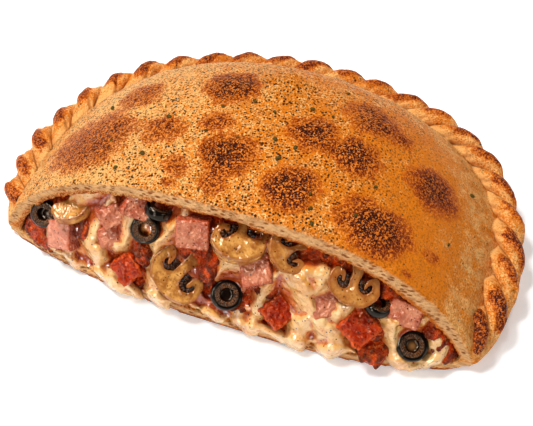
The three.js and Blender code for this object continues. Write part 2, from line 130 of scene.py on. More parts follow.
def height_over(shell, x, y):
    """The height of a domed shell over a place in plan: fuller by the lip than round the back."""
    across, along = out_from_middle(shell, x, y)
    power = np.where(x < 0, shell["left_power"], shell["power"])
    share = (across ** power + along ** power) ** (1 / power)
    away = clamp(y / LIP_REACH)
    inside = np.maximum(1 - share ** mix(shell["lip_crown"], shell["crown"], away), 0)
    rise = mix(shell["lip_rise"], shell["rise"], np.sin(clamp(y / LIP_RISE_REACH) * math.pi / 2))
    return shell["spring"] + rise * inside ** mix(shell["lip_fall"], shell["fall"], away)


def floor_edge(x):
    """Where the floor's edge lies: in front of the cut's plane, and fuller to the right."""
    right = x > FLOOR_BULGE_AT
    span = np.where(right, FLOOR_HALF_WIDTH - FLOOR_BULGE_AT, FLOOR_HALF_WIDTH + FLOOR_BULGE_AT)
    share = np.minimum(np.abs(x - FLOOR_BULGE_AT) / span, 1)
    return -FLOOR_BULGE * (1 - share ** np.where(right, 3.2, 2.4))


def rows(items, name):
    found = np.empty(len(items) * 3, np.float32)
    items.foreach_get(name, found)
    return found.reshape(-1, 3).astype(float)


def corners(mesh):
    """The place of every corner of a mesh, one row each."""
    return rows(mesh.vertices, "co")


def facings(mesh):
    """The direction in which the surface looks at each corner."""
    return rows(mesh.vertex_normals, "vector")


def move_to(mesh, places):
    mesh.vertices.foreach_set("co", places.astype(np.float32).ravel())
    mesh.update()


def raise_by(mesh, heights):
    """Moves each corner out of the surface by a height of its own."""
    move_to(mesh, corners(mesh) + facings(mesh) * heights[:, None])


def note(mesh, name, values):
    """Keeps one number for each corner, for a finish to read."""
    mesh.attributes.new(name, "FLOAT", "POINT").data.foreach_set("value", values.astype(np.float32))


def put_in_scene(name, data):
    thing = bpy.data.objects.new(name, data)
    bpy.context.scene.collection.objects.link(thing)
    return thing


def made(name, bm):
    """An object of what a bmesh holds, with its faces turned outwards."""
    bmesh.ops.recalc_face_normals(bm, faces=bm.faces)
    mesh = bpy.data.meshes.new(name)
    bm.to_mesh(mesh)
    bm.free()
    return put_in_scene(name, mesh)


def settled(piece):
    """Works a piece's modifiers into its mesh."""
    seen = piece.evaluated_get(bpy.context.evaluated_depsgraph_get())
    mesh = bpy.data.meshes.new_from_object(seen)
    piece.modifiers.clear()
    piece.data = mesh


def work_on(piece, kind, **settings):
    """Gives a piece a modifier with its settings."""
    step = piece.modifiers.new(kind.lower(), kind)
    for setting, value in settings.items():
        setattr(step, setting, value)


def combined(piece, others, operation):
    """Joins other solids to a piece, cuts them out of it or keeps what they share."""
    for other in others:
        work_on(piece, "BOOLEAN", operation=operation, solver="MANIFOLD", object=other)
    settled(piece)
    for other in others:
        bpy.data.objects.remove(other)


def even(piece, grain, rounds):
    """Gives a piece one even skin of small faces, with its sharp edges eased."""
    work_on(piece, "REMESH", mode="VOXEL", voxel_size=grain, use_smooth_shade=True)
    work_on(piece, "SMOOTH", factor=0.5, iterations=rounds)
    settled(piece)


def thinned(piece, hidden, ratio):
    """Thins out the faces of a piece where nothing shows of it."""
    group = piece.vertex_groups.new(name="hidden")
    group.add(np.nonzero(hidden)[0].tolist(), 1, "REPLACE")
    work_on(piece, "DECIMATE", ratio=ratio, vertex_group=group.name)
    settled(piece)
    piece.vertex_groups.clear()


def strewn(sample, places, size, seed):
    """A pattern at each place, drawn out to a size; each seed gives another part of it."""
    shift = Vector((seed * 7.31, seed * 3.17, seed * 5.73))
    return np.array([sample(Vector(place) / size + shift) for place in places])


def lumps(places, size, seed):
    """Smooth noise from -1 to 1 at each place, with lumps of a size."""
    return strewn(noise.noise, places, size, seed)


def pits(places, size, seed):
    """How far each place is from the nearest of many scattered points, as a share of their spacing."""
    return strewn(lambda at: noise.voronoi(at)[0][0], places, size, seed)


def hollowness(mesh, rounds):
    """How far each corner lies below the surface that its neighbours would make, smoothed in rounds."""
    pairs = np.empty(len(mesh.edges) * 2, np.int32)
    mesh.edges.foreach_get("vertices", pairs)
    first, second = pairs.reshape(-1, 2).T
    starts, ends = np.concatenate([first, second]), np.concatenate([second, first])
    places = corners(mesh)
    count = np.maximum(np.bincount(starts, minlength=len(places)), 1)
    level = places.copy()
    for _ in range(rounds):
        sums = [np.bincount(starts, level[ends, axis], len(places)) for axis in range(3)]
        level = np.stack(sums, axis=1) / count[:, None]
    return ((level - places) * facings(mesh)).sum(axis=1)


def smoothly(low, high, values):
    """0 below low, 1 above high, and an S-curve between them."""
    share = clamp((values - low) / (high - low))
    return share * share * (3 - 2 * share)


def seat(piece, *nodes, slot):
    """Brings a piece into the frame, where it rides on the body and stands for its nodes."""
    piece.data.transform(Matrix.Translation((0, -CUT_TO_MIDDLE * MM, 0)) @ Matrix.Scale(MM, 4))
    move_to(piece.data, np.clip(corners(piece.data), *cad_box))
    piece.data.shade_smooth()
    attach(piece, "root")
    if nodes:
        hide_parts(*nodes)


def new_corners(extrusion):
    """The corners that an extrusion added."""
    return [item for item in extrusion["geom"] if isinstance(item, bmesh.types.BMVert)]


def open_edges(bm):
    return [edge for edge in bm.edges if edge.is_boundary]


def domed(name, shell, floor, segments):
    """A dome over a flat floor: a square sheet drawn out to the oval, and walled in below."""
    bm = bmesh.new()
    bmesh.ops.create_grid(bm, x_segments=segments, y_segments=segments, size=1)
    skirt = bmesh.ops.extrude_edge_only(bm, edges=open_edges(bm))
    bmesh.ops.translate(bm, verts=new_corners(skirt), vec=(0, 0, -1))
    bmesh.ops.contextual_create(bm, geom=open_edges(bm))
    piece = made(name, bm)
    u, v, level = corners(piece.data).T
    disc_x, disc_y = u * np.sqrt(1 - v * v / 2), v * np.sqrt(1 - u * u / 2)
    share = np.sin(clamp(np.hypot(disc_x, disc_y)) * math.pi / 2)
    x, y = oval_place(shell, share, np.arctan2(disc_y, disc_x))
    move_to(piece.data, np.stack([x, y, np.where(level < -0.5, floor, height_over(shell, x, y))], axis=1))
    return piece


def turned(profile, steps):
    """What a profile, given as radius and height, makes when it is turned."""
    bm = bmesh.new()
    line = [bm.verts.new((radius, 0, height)) for radius, height in profile]
    edges = [bm.edges.new(pair) for pair in zip(line, line[1:])]
    bmesh.ops.spin(bm, geom=line + edges, axis=(0, 0, 1), cent=(0, 0, 0), angle=2 * math.pi, steps=steps,
                   use_merge=True)
    bmesh.ops.remove_doubles(bm, verts=bm.verts, dist=1e-4)
    return bm


def walled():
    """The rounded wall, turned from its profile and spread over the oval of the edge."""
    piece = made("wall", turned(WALL_PROFILE, 180))
    x, y, z = corners(piece.data).T
    x, y = oval_place(EDGE, np.hypot(x, y), np.arctan2(y, x))
    move_to(piece.data, np.stack([x, y, z], axis=1))
    return piece


def space_by_edge(side, low, high, clearance=0):
    """All the space in front of the floor's edge, or all behind it, between two heights."""
    bm = bmesh.new()
    bmesh.ops.create_grid(bm, x_segments=110, y_segments=1, size=SPACE_REACH)
    for corner in bm.verts:
        if corner.co.y * side < 0:
            corner.co.y = float(floor_edge(corner.co.x)) - clearance
        corner.co.z = low
    sheet = bmesh.ops.extrude_face_region(bm, geom=list(bm.faces))
    bmesh.ops.translate(bm, verts=new_corners(sheet), vec=(0, 0, high - low))
    return made("space", bm)


def block(middle, size):
    """A plain block, to cut with or to add."""
    bm = bmesh.new()
    bmesh.ops.create_cube(bm, size=1, matrix=Matrix.Translation(middle) @ Matrix.Diagonal((*size, 1)))
    return made("block", bm)


# Toasted blisters of the dome: place, half width, half depth and how dark
BLISTERS = [
    (-78, 72, 14, 14, 0.6), (-28, 85, 17, 17, 1), (-92, 33, 26, 25, 0.7), (-52, 41, 13, 11, 0.6),
    (-26, 53, 10, 9, 0.6), (-12, 33, 16, 15, 1), (-12, 13, 8, 9, 0.5), (-35, 18, 9, 8, 0.4),
    (-36, 7, 5, 4, 0.35), (26, 23, 15, 15, 1), (25, 63, 15, 14, 0.9), (51, 58, 14, 14, 0.9),
    (50, 92, 17, 15, 0.75), (93, 65, 16, 15, 1), (67, 87, 10, 9, 0.5), (73, 19, 20, 17, 1),
    (-2, 91, 9, 9, 0.5), (103, 24, 5, 4, 0.45), (94, 4, 4, 3, 0.4),
]


def out_over(spot, x, y):
    """How far out from the middle of an oval spot a place lies, as a share of the way to its rim."""
    middle_x, middle_y, half_width, half_height = spot
    return np.hypot((x - middle_x) / half_width, (y - middle_y) / half_height)


def toasting(x, y):
    """How dark the dome is toasted at a place in plan, from 0 to 1."""
    flat = np.stack([x, y, np.zeros_like(x)], axis=1)
    ragged = 0.22 * lumps(flat, 9, 1) + 0.12 * lumps(flat, 3.5, 2)
    left = np.ones_like(x)
    for *spot, dark in BLISTERS:
        left *= 1 - dark * smoothly(1.25, 0.3, out_over(spot, x, y) + ragged)
    return 1 - left


class Wire:
    """A socket of one finish. Arithmetic on it adds Math nodes."""

    def __init__(self, finish, socket):
        self.finish = finish
        self.socket = socket

    def _reckon(self, operation, *terms):
        return self.finish.node("ShaderNodeMath", {"operation": operation}, dict(enumerate(terms)))

    def __add__(self, other):
        return self._reckon("ADD", self, other)

    def __sub__(self, other):
        return self._reckon("SUBTRACT", self, other)

    def __rsub__(self, other):
        return self._reckon("SUBTRACT", other, self)

    def __mul__(self, other):
        return self._reckon("MULTIPLY", self, other)

    __radd__ = __add__
    __rmul__ = __mul__

    def within(self, low, high):
        """0 at low, 1 at high and an S-curve between them; low may be the larger."""
        limits = {"Value": self, "From Min": low, "From Max": high}
        return self.finish.node("ShaderNodeMapRange", {"interpolation_type": "SMOOTHSTEP"}, limits)


def paint(colour):
    """A colour given as a paint chart gives it, from 0 to 255, made linear; a wire stays as it is."""
    if isinstance(colour, Wire):
        return colour
    chart = [value / 255 for value in colour]
    return tuple(v / 12.92 if v <= 0.04045 else ((v + 0.055) / 1.055) ** 2.4 for v in chart) + (1,)


DOUGH_PALE = (246, 186, 110)
DOUGH_GOLD = (226, 123, 13)
TOAST_AMBER = (190, 82, 6)
TOAST_BROWN = (120, 42, 5)
TOAST_BLACK = (44, 14, 3)
TOAST_GRAIN = (218, 122, 42)
CRUMB_PALE = (240, 186, 126)
CRUMB_DEEP = (164, 88, 36)
PEPPER = (40, 16, 6)


class Finish:
    """One material: a Principled shader whose varying sockets are fed by expressions."""

    def __init__(self, name, colour, **constants):
        self.material = bpy.data.materials.new(name)
        self.material.use_nodes = True
        self.tree = self.material.node_tree
        self.shader = self.tree.nodes["Principled BSDF"]
        self.colour = colour
        for socket, value in {"Base_Color": paint(colour), **constants}.items():
            self.shader.inputs[socket.replace("_", " ")].default_value = value
        self.place = self.node("ShaderNodeTexCoord", {}, {}, "Object")

    def node(self, kind, settings, sockets, output=0):
        """Adds a node: its settings first, then the values or wires of its sockets."""
        added = self.tree.nodes.new(kind)
        for setting, value in settings.items():
            setattr(added, setting, value)
        for socket, value in sockets.items():
            if isinstance(value, Wire):
                self.tree.links.new(value.socket, added.inputs[socket])
            else:
                added.inputs[socket].default_value = value
        return Wire(self, added.outputs[output])

    def noted(self, name, output="Fac"):
        """What the mesh keeps for each corner under that name."""
        return self.node("ShaderNodeAttribute", {"attribute_name": name}, {}, output)

    def grain(self, size, detail=2, roughness=0.5, at=None):
        """Noise from about 0 to 1, with lumps of a size in millimetres."""
        where = {"Vector": at or self.place, "Scale": 1 / (size * MM)}
        return self.node("ShaderNodeTexNoise", {}, {**where, "Detail": detail, "Roughness": roughness})

    def specks(self, spacing, at=None, output="Distance"):
        """The distance from the nearest of many scattered points, as a share of their spacing."""
        where = {"Vector": at or self.place, "Scale": 1 / (spacing * MM)}
        return self.node("ShaderNodeTexVoronoi", {}, where, output)

    def stretched(self, vector, shares):
        return self.node("ShaderNodeVectorMath", {"operation": "MULTIPLY"}, {0: vector, 1: shares})

    def blend(self, share, first, second):
        """The first colour where the share is 0 and the second where it is 1."""
        sockets = {0: share, 6: paint(first), 7: paint(second)}
        return self.node("ShaderNodeMix", {"data_type": "RGBA"}, sockets, 2)

    def coat(self, share, colour):
        """Lays a colour over what the surface has so far, as thickly as the share says."""
        self.colour = self.blend(share, self.colour, colour)
        self.feed(Base_Color=self.colour)

    def pepper(self, spacing, rim, core, colour=PEPPER):
        """Strews ground pepper: its grains fade in from their rim to their core, as shares of the spacing."""
        self.coat(self.specks(spacing).within(rim, core), colour)

    def feed(self, **wires):
        """Wires the shader's sockets."""
        for socket, wire in wires.items():
            self.tree.links.new(wire.socket, self.shader.inputs[socket.replace("_", " ")])

    def relief(self, height, depth):
        """Raises the surface by a height from 0 to 1, of that depth in millimetres."""
        self.feed(Normal=self.node("ShaderNodeBump", {}, {"Height": height, "Distance": depth * MM}))

    def on(self, *pieces):
        for piece in pieces:
            piece.data.materials.clear()
            piece.data.materials.append(self.material)


shell = domed("crust_shell", DOME, DOME_FOOT, 200)
combined(shell, [walled()], "UNION")
before_edge = space_by_edge(-1, -10, 190)
over_floor = block((0, -SPACE_REACH / 2, SPACE_REACH / 2 + FLOOR_THICKNESS),
                   (2 * SPACE_REACH, SPACE_REACH, SPACE_REACH))
combined(shell, [domed("hollow", CAVITY, FLOOR_THICKNESS, 120), before_edge, over_floor], "DIFFERENCE")
even(shell, SHELL_GRAIN, 2)
x, y, z = corners(shell.data).T
inner = height_over(CAVITY, x, y)
lining = (y > 14) * (inner > z - 1.5) * (inner > 9) * (z > 4)
thinned(shell, lining + (z < 1) * (y > -6), SHELL_THINNING)

places, facing = corners(shell.data), facings(shell.data)
x, y, z = places.T.copy()
cavity_top, dome_top = height_over(CAVITY, x, y), height_over(DOME, x, y)
rightward = smoothly(-110, -10, x)
lip_cut = (np.abs(y) < 1.8) * (z > FLOOR_THICKNESS) * smoothly(0.15, 0.6, -facing[:, 1])
up_lip = (z - cavity_top) / np.maximum(dome_top - cavity_top, 1)
by_lip = smoothly(LIP_SOFTNESS, 1, y) * smoothly(10, 34, cavity_top) * (up_lip > -0.5)
by_lip *= mix(0.15, 1, rightward)
places[:, 1] += LIP_LEAN * by_lip * clamp(up_lip)
places[:, 2] -= LIP_DROOP * by_lip * clamp(1 - up_lip)
move_to(shell.data, places)
facing = facings(shell.data)

# The cut bares the crumb over the fringe, the torn and browned lower edge of the lip
up_lip += 0.1 * lumps(places, 2.5, 8)
fringe_top = mix(0.52, 0.32, rightward)
floor_cut = (np.abs(y - floor_edge(x)) < 2) * (z < FLOOR_THICKNESS + 0.5) * smoothly(0.2, 0.7, -facing[:, 1])
crumb = np.maximum(lip_cut * smoothly(fringe_top - 0.2, fringe_top, up_lip) * smoothly(0.96, 0.8, up_lip),
                   floor_cut * smoothly(1.8, 3.4, z + 0.8 * lumps(places, 4, 9)))
fringe = (y < 10) * smoothly(fringe_top, fringe_top - 0.2, up_lip) * smoothly(-0.6, -0.2, up_lip) * (z > 9)
foot = smoothly(3.2, 0.8, z) * (y < 40)
toast = toasting(x, y) * (dome_top - z < 6) * (facing[:, 2] > -0.1) * (1 - crumb)
near_rim = np.hypot(*out_from_middle(DOME, x, y))
crease = smoothly(0.8, 0.93, near_rim) * smoothly(1.0, 0.95, near_rim) * (1 - crumb)
crease *= np.sin(np.arctan2(y - 20, x) * CREASES + 2.5 * lumps(places, 12, 10))
relief = 0.9 * lumps(places, 30, 3) + 0.45 * lumps(places, 11, 4) + 0.2 * lumps(places, 3.2, 5)
relief = relief * smoothly(3, 9, z) * (1 - crumb) + toast
relief += CREASE_HEIGHT * crease * (0.6 + 0.4 * lumps(places, 20, 15))
relief += crumb * 0.4 * lumps(places * (0.5, 1, 1), 2.2, 7) + 0.7 * fringe * lumps(places, 1.7, 16)
raise_by(shell.data, relief)

warm = 0.06 + 0.8 * smoothly(-90, 15, x) * smoothly(30, 66, dome_top) + 0.45 * smoothly(20, 110, x)
warm += 0.3 * smoothly(0.75, 0.9, near_rim) * smoothly(0, -70, x)
note(shell.data, "toast", np.maximum(toast, np.maximum(0.22 * fringe, 0.75 * foot)))
note(shell.data, "smooth", np.maximum(smoothly(45, 105, x), smoothly(0.86, 0.98, near_rim)))
note(shell.data, "crumb", crumb)
note(shell.data, "warmth", warm)
seat(shell, "crust", slot="crust")


def bake(finish, toast, warmth, dotted, smooth):
    """Colours dough from cream to gold, toasts it where the mask says, and gives the grit of its surface."""
    grit = finish.specks(0.85, output="Color") * 0.6 + finish.grain(0.85, 2, 0.7) * 1.1
    grit = grit.within(0.6, 1.1)
    mottle = finish.grain(9, 4, 0.6)
    coarse = 1 - smooth * 0.55
    golden = (warmth + toast * 1.6 + (mottle - 0.5) * 2.0 + (0.5 - grit) * 1.2 * coarse).within(0.0, 1.0)
    finish.coat(golden, DOUGH_GOLD)
    finish.coat(finish.specks(1.35).within(0.44, 0.2) * (1 - smooth * 0.5) * 0.7, TOAST_BROWN)
    pore = (finish.specks(2.0) + finish.grain(5) * 0.5).within(0.61, 0.49) * dotted
    finish.coat(pore * 0.95, TOAST_BLACK)
    uneven = (0.5 - grit) * 1.4 * toast.within(0, 0.35) + (mottle - 0.5) * 0.7 * toast.within(0, 0.3)
    grainy = toast + uneven * coarse
    finish.coat(grainy.within(0.0, 0.5), TOAST_AMBER)
    finish.coat(grainy.within(0.35, 0.95), TOAST_BROWN)
    finish.coat(grainy.within(0.9, 1.35), TOAST_BLACK)
    finish.coat(grit.within(0.65, 1.0) * toast.within(0.05, 0.3) * coarse, TOAST_GRAIN)
    return grit


dough = Finish("baked_dough", DOUGH_PALE, Roughness=0.55, Specular_IOR_Level=0.07)
is_crumb = dough.noted("crumb")
is_smooth = dough.noted("smooth")
dotted = dough.grain(24).within(0.2, 0.45) * (1 - is_crumb) * (1 - is_smooth * 0.8)
grit = bake(dough, dough.noted("toast"), dough.noted("warmth"), dotted, is_smooth)
dough.pepper(4.6, 0.13, 0.06)
drawn_out = dough.stretched(dough.place, (0.5, 1, 1))
bubble = dough.specks(1.9, at=drawn_out).within(0.5, 0.15) * dough.grain(14).within(0.35, 0.6)
deep_crumb = (bubble + (0.65 - dough.grain(1.7, 3, 0.6, at=drawn_out)) * 1.8).within(0, 1)
dough.coat(is_crumb, dough.blend(deep_crumb, CRUMB_PALE, CRUMB_DEEP))
dough.relief(grit * 0.6 - bubble * is_crumb, 1.1)
dough.on(shell)


# ---- Rope ------------------------------------------------------------
# The two layers of dough are rolled over each other along the curved edge into a rope of three
# strands. It is the same dough, browned on the tops of the strands and pale where they tuck in.

ROPE = {**OVAL, "half_width": 139, "back": 117.5, "front": 117.5}
ROPE_HEIGHT = 15.2
ROPE_END_ANGLE = 0.36
STRANDS = 3
STRAND_RADIUS = 5.15
STRAND_OFFSET = 5.75
STRAND_SLEW = 0.4
# A narrower fold runs down one side of every strand
PLEAT_DEPTH = 1.3
PLEAT_AT = 0.42
PLEAT_WIDTH = 0.14
LOBE_LENGTH = 21
ROPE_TAPER = 15
ROPE_SINK = 4


def on_line(line, ran, at):
    """The places along a line at some distances from its start."""
    return np.stack([np.interp(at, ran, line[0]), np.interp(at, ran, line[1])])


bm = bmesh.new()
bmesh.ops.create_grid(bm, x_segments=700, y_segments=60, size=0.5)
rope = made("crust_rope", bm)
share, strand_angle, _ = corners(rope.data).T + 0.5
strand_angle *= 2 * math.pi
line = oval_place(ROPE, 1, np.linspace(math.pi + ROPE_END_ANGLE, -ROPE_END_ANGLE, 2000))
ran = np.concatenate([[0], np.cumsum(np.hypot(*np.diff(line)))])
length = ran[-1]
run = share * length
middle_x, middle_y = on_line(line, ran, run)
ahead = on_line(line, ran, run + 1) - on_line(line, ran, run - 1)
ahead_x, ahead_y = ahead / np.hypot(*ahead)

turn = 2 * math.pi / (STRANDS * LOBE_LENGTH)
angle = strand_angle - turn * run
angle += STRAND_SLEW * np.sin(angle - math.pi / 2)
strand = np.round(strand_angle * STRANDS / (2 * math.pi)) % STRANDS
beside = (strand_angle + math.pi / STRANDS) % (2 * math.pi / STRANDS) - math.pi / STRANDS
lobe = np.floor((run * turn - strand * 2 * math.pi / STRANDS) / (2 * math.pi) + 0.25)
by_chance = np.array([random.Random(int(31 * a + 7 * b)).uniform(-1, 1) for a, b in zip(lobe, strand)])
round_strand = STRAND_OFFSET * np.cos(beside) + np.sqrt(
    STRAND_RADIUS ** 2 - (STRAND_OFFSET * np.sin(beside)) ** 2)
round_strand -= PLEAT_DEPTH * np.exp(-((beside - PLEAT_AT) / PLEAT_WIDTH) ** 2)
to_end = clamp(np.minimum(run, length - run) / ROPE_TAPER)
taper = mix(0.6, 1, np.sin(to_end * math.pi / 2))
swell = 1 + 0.05 * np.sin(run / 17) + 0.03 * np.sin(run / 7.3 + 1)
radius = taper * swell * round_strand
out = radius * np.cos(angle)
height = ROPE_HEIGHT - (1 - to_end) * ROPE_SINK + radius * np.sin(angle)
move_to(rope.data, np.stack([middle_x - ahead_y * out, middle_y + ahead_x * out, height], axis=1))
crest = smoothly(6.6, 10.4, round_strand)
upward = np.cos(angle - math.radians(60)) + 0.2 * by_chance
# The toast mask is deepened towards the front right end of the rope.
front_right_deepening = 1 + 0.7 * smoothly(55, 15, middle_y) * (middle_x > 0)
note(rope.data, "toast", crest * smoothly(0.35, 0.95, upward) * front_right_deepening)
note(rope.data, "inner", smoothly(0.1, -0.6, np.cos(angle - math.radians(20))))
bm = bmesh.new()
bm.from_mesh(rope.data)
bmesh.ops.remove_doubles(bm, verts=bm.verts, dist=0.01)
bmesh.ops.holes_fill(bm, edges=open_edges(bm))
bmesh.ops.bisect_plane(bm, geom=bm.verts[:] + bm.edges[:] + bm.faces[:], plane_co=(0, 0.05, 0),
                       plane_no=(0, 1, 0), clear_inner=True)
bmesh.ops.holes_fill(bm, edges=open_edges(bm))
bmesh.ops.recalc_face_normals(bm, faces=bm.faces)
bm.to_mesh(rope.data)
bm.free()
places = corners(rope.data)
raise_by(rope.data, 0.45 * lumps(places, 6, 11) + 0.3 * lumps(places, 2.6, 12) + 0.5 * lumps(places, 14, 13))
note(rope.data, "warmth", 0.55 + 0.3 * lumps(places, 30, 14))
x, y, z = places.T
# Marks the grooves between the strands and the crease where the rope meets the dome, where shade is painted.
by_dome = smoothly(1.6, 0.2, np.abs(z - height_over(DOME, x, y)))
note(rope.data, "tuck_shade", np.maximum(smoothly(0.1, 0.8, hollowness(rope.data, 16)), by_dome))
seat(rope, slot="crust")
rolled = Finish("rope_dough", DOUGH_PALE, Roughness=0.5, Specular_IOR_Level=0.1)
ragged = rolled.grain(5, 4, 0.65)
mask = (rolled.noted("toast") * 1.5 + (ragged - 0.5) * 1.6).within(0.4, 1.8) * 0.9
pale = rolled.noted("inner")
dotted = rolled.grain(9).within(0.5, 0.7) * (1 - pale)
grit = bake(rolled, mask, rolled.noted("warmth") - pale * 0.5, dotted, pale * 0.3 + 0.7)
rolled.coat(pale * (1 - mask) * 0.6, (246, 182, 104))
# Painted shade: the grooves between the strands and the crease by the dome are painted dark brown.
rolled.coat(rolled.noted("tuck_shade") * 0.8, (132, 62, 14))
rolled.relief(grit * 0.5 + ragged * 2, 0.7)
rolled.on(rope)


# ---- Herb flakes -----------------------------------------------------
# Bits of dried oregano strewn over the dome before baking, each lying flat and half sunk.

FLAKE_PLACES = [
    (-67, 11), (-78, 30), (-56, 22), (-53, 51), (-29, 45), (-27, 65), (-11, 45), (-12, 75), (1, 70), (8, 51),
    (20, 49), (14, 39), (19, 81), (13, 90), (31, 80), (31, 109), (37, 23), (40, 15), (43, 7), (62, 21),
    (112, 86), (109, 39), (-94, 63), (66, 44),
]
FLAKE_SIZE = 1.55
FLAKE_LIFT = 0.55

bm = bmesh.new()
shake = random.Random(5)
for x, y in FLAKE_PLACES:
    size = FLAKE_SIZE * shake.uniform(0.7, 1.15)
    lying = Matrix.Translation((x, y, float(height_over(DOME, x, y)) + FLAKE_LIFT))
    lying @= Matrix.Rotation(shake.uniform(0, 6), 4, "Z") @ Matrix.Rotation(shake.uniform(-0.5, 0.5), 4, "X")
    lying @= Matrix.Diagonal((size, size * 0.7, size * 0.45, 1))
    for corner in bmesh.ops.create_icosphere(bm, subdivisions=2, radius=1, matrix=lying)["verts"]:
        corner.co += Vector([shake.uniform(-0.14, 0.14) for _ in range(3)])
flakes = made("herb_flakes", bm)
seat(flakes, slot="crust")
oregano = Finish("dried_oregano", (50, 38, 8), Roughness=0.8, Specular_IOR_Level=0.1)
oregano.coat(oregano.grain(1.2), (98, 78, 24))
oregano.on(flakes)


# ---- Sauce -----------------------------------------------------------
# Cooked tomato sauce with bits of the fruit in it. It fills the hollow and is spooned under the rest
# of the filling, so that it shows between the pieces and at both ends of the cut.

FACE_TOP_DEPTH = 5
FACE_EDGE_SETBACK = 2.5
SAUCE_SETBACK = 6
SAUCE_HALF_WIDTH = 129
SAUCE_REAR = 250
GAP = 0.3
# Where the sauce is heaped: place along the cut, height, half width, half height and how far it stands out
SAUCE_HEAPS = [
    (-120, 15, 12, 12, 8), (-112, 9, 12, 8, 9), (-98, 36, 9, 9, 8), (-82, 30, 6, 7, 9),
    (-45, 33, 7, 7, 11), (-47, 12, 9, 6, 6), (-7, 38, 6, 13, 10), (10, 17, 8, 6, 8),
    (24, 32, 6, 6, 8), (-76, 13, 6, 6, 6), (87, 10, 11, 8, 13), (84, 24, 8, 9, 9),
    (118, 22, 10, 12, 9), (124, 10, 8, 7, 8), (60, 58, 12, 7, 6), (90, 47, 9, 7, 7),
]


def ceiling(x):
    """The height of the hollow's ceiling at the cut."""
    return height_over(CAVITY, x, np.zeros_like(x))


def face_depth(x, z):
    """How far behind the cut's plane the filling's face lies, from the floor's edge up to the lip."""
    edge = floor_edge(x) + FACE_EDGE_SETBACK
    rise = clamp((z - FLOOR_THICKNESS) / np.maximum(ceiling(x) - FLOOR_THICKNESS - 1.5, 1))
    return mix(edge, FACE_TOP_DEPTH, rise ** 1.5)


def heaped(x, z):
    """How far the heaps of sauce stand out at a place on the face; they fade out under the lip."""
    rise = clamp((z - FLOOR_THICKNESS) / np.maximum(ceiling(x) - FLOOR_THICKNESS, 1))
    height = np.zeros_like(x)
    for *spot, stand_out in SAUCE_HEAPS:
        height = np.maximum(height, stand_out * np.sqrt(np.maximum(1 - out_over(spot, x, z) ** 2, 0)))
    return height * (1 - rise ** 5)


def slab(name, columns, levels, half_width, low, above):
    """A slab to draw out over the face: it runs from a height to so far above the hollow's ceiling."""
    bm = bmesh.new()
    bmesh.ops.create_grid(bm, x_segments=columns, y_segments=levels, size=1)
    for corner in new_corners(bmesh.ops.extrude_face_region(bm, geom=list(bm.faces))):
        corner.co.z = 1
    piece = made(name, bm)
    across, upward, rear = corners(piece.data).T
    x = across * half_width
    z = mix(low, ceiling(x) + above, (upward + 1) / 2)
    return piece, x, z, np.stack([x, np.zeros_like(x), z], axis=1), rear > 0.5


sauce, x, z, flat, rear = slab("sauce_bed", 300, 110, SAUCE_HALF_WIDTH, 2, 3)
chunks = 2.3 * smoothly(0.75, 0.1, pits(flat, 5.5, 21)) + 1.1 * smoothly(0.7, 0.1, pits(flat, 2.8, 22))
ragged_x, ragged_z = x + 4 * lumps(flat, 7, 23), z + 4 * lumps(flat, 7, 24)
front = face_depth(x, z) + SAUCE_SETBACK - heaped(ragged_x, ragged_z) - chunks
move_to(sauce.data, np.stack([x, np.where(rear, SAUCE_REAR, front), z], axis=1))
inner = {
    key: size - GAP if key in ("half_width", "back", "rise", "lip_rise") else size
    for key, size in CAVITY.items()
}
room = domed("room", inner, FLOOR_THICKNESS + GAP, 100)
combined(room, [block((0, -20, 45), (270, 41, 90))], "UNION")
combined(sauce, [room], "INTERSECT")
# Marks the dips between the chunks of sauce, where shade is painted.
note(sauce.data, "dip_shade", smoothly(0.05, 0.6, hollowness(sauce.data, 6)))
seat(sauce, "sauce", slot="sauce")
tomato = Finish("tomato_sauce", (134, 22, 2), Roughness=0.11, Specular_IOR_Level=0.24,
                Specular_Tint=(1, 0.6, 0.35, 1))
tomato.coat(tomato.grain(3.2, 4, 0.65).within(0.35, 0.65), (212, 66, 6))
tomato.coat(tomato.grain(1.1).within(0.55, 0.66) * 0.5, (232, 130, 50))
# Painted shade: the sauce is darkened almost to black in its dips between the chunks.
tomato.coat(tomato.noted("dip_shade") * 0.9, (64, 8, 1))
tomato.pepper(3.4, 0.16, 0.1)
tomato.relief(tomato.grain(2.2, 3, 0.55), 2.0)
tomato.on(sauce)


# ---- Olives ----------------------------------------------------------
# Stoned black olives cut into rings. A ring has a thin glossy black skin round brown flesh, with the
# hole of the stone in the middle, and lies on the filling with its cut face out.

FACE_TURN = 20
FACE_TILT = 50.4
OLIVE_LENGTH = 6.5
OLIVE_HOLE = 0.42
# The ring's section: steps from the skin and the lower face, the upper face, and the hole and the upper face
RING_FOOT = [(-1.6, 0), (-0.6, 0.5), (0, 1.5)]
RING_SHOULDER = [(0, -1.5), (-0.35, -0.7), (-0.9, -0.15), (-1.5, 0), (-2.2, -0.12)]
RING_MOUTH = [(1, -0.2), (0.3, -0.35), (0, -0.9)]


def outward(turn, tilt):
    """The direction that looks out from the cut, turned to the right and tilted up by some degrees."""
    turn, tilt = math.radians(turn), math.radians(tilt)
    return np.array((math.sin(turn) * math.cos(tilt), -math.cos(turn) * math.cos(tilt), math.sin(tilt)))


FACE_OUT = outward(FACE_TURN, FACE_TILT)
FACE_RIGHT = outward(FACE_TURN + 90, 0)
FACE_UP = np.cross(FACE_OUT, FACE_RIGHT)


def placed(x, z, size, tip, nod, proud, turn=0, **more):
    """Where a piece lies on the face, its size, how it leans in degrees and how far it stands out."""
    return dict(more, x=x, z=z, size=size, tip=tip, nod=nod, proud=proud, turn=turn)


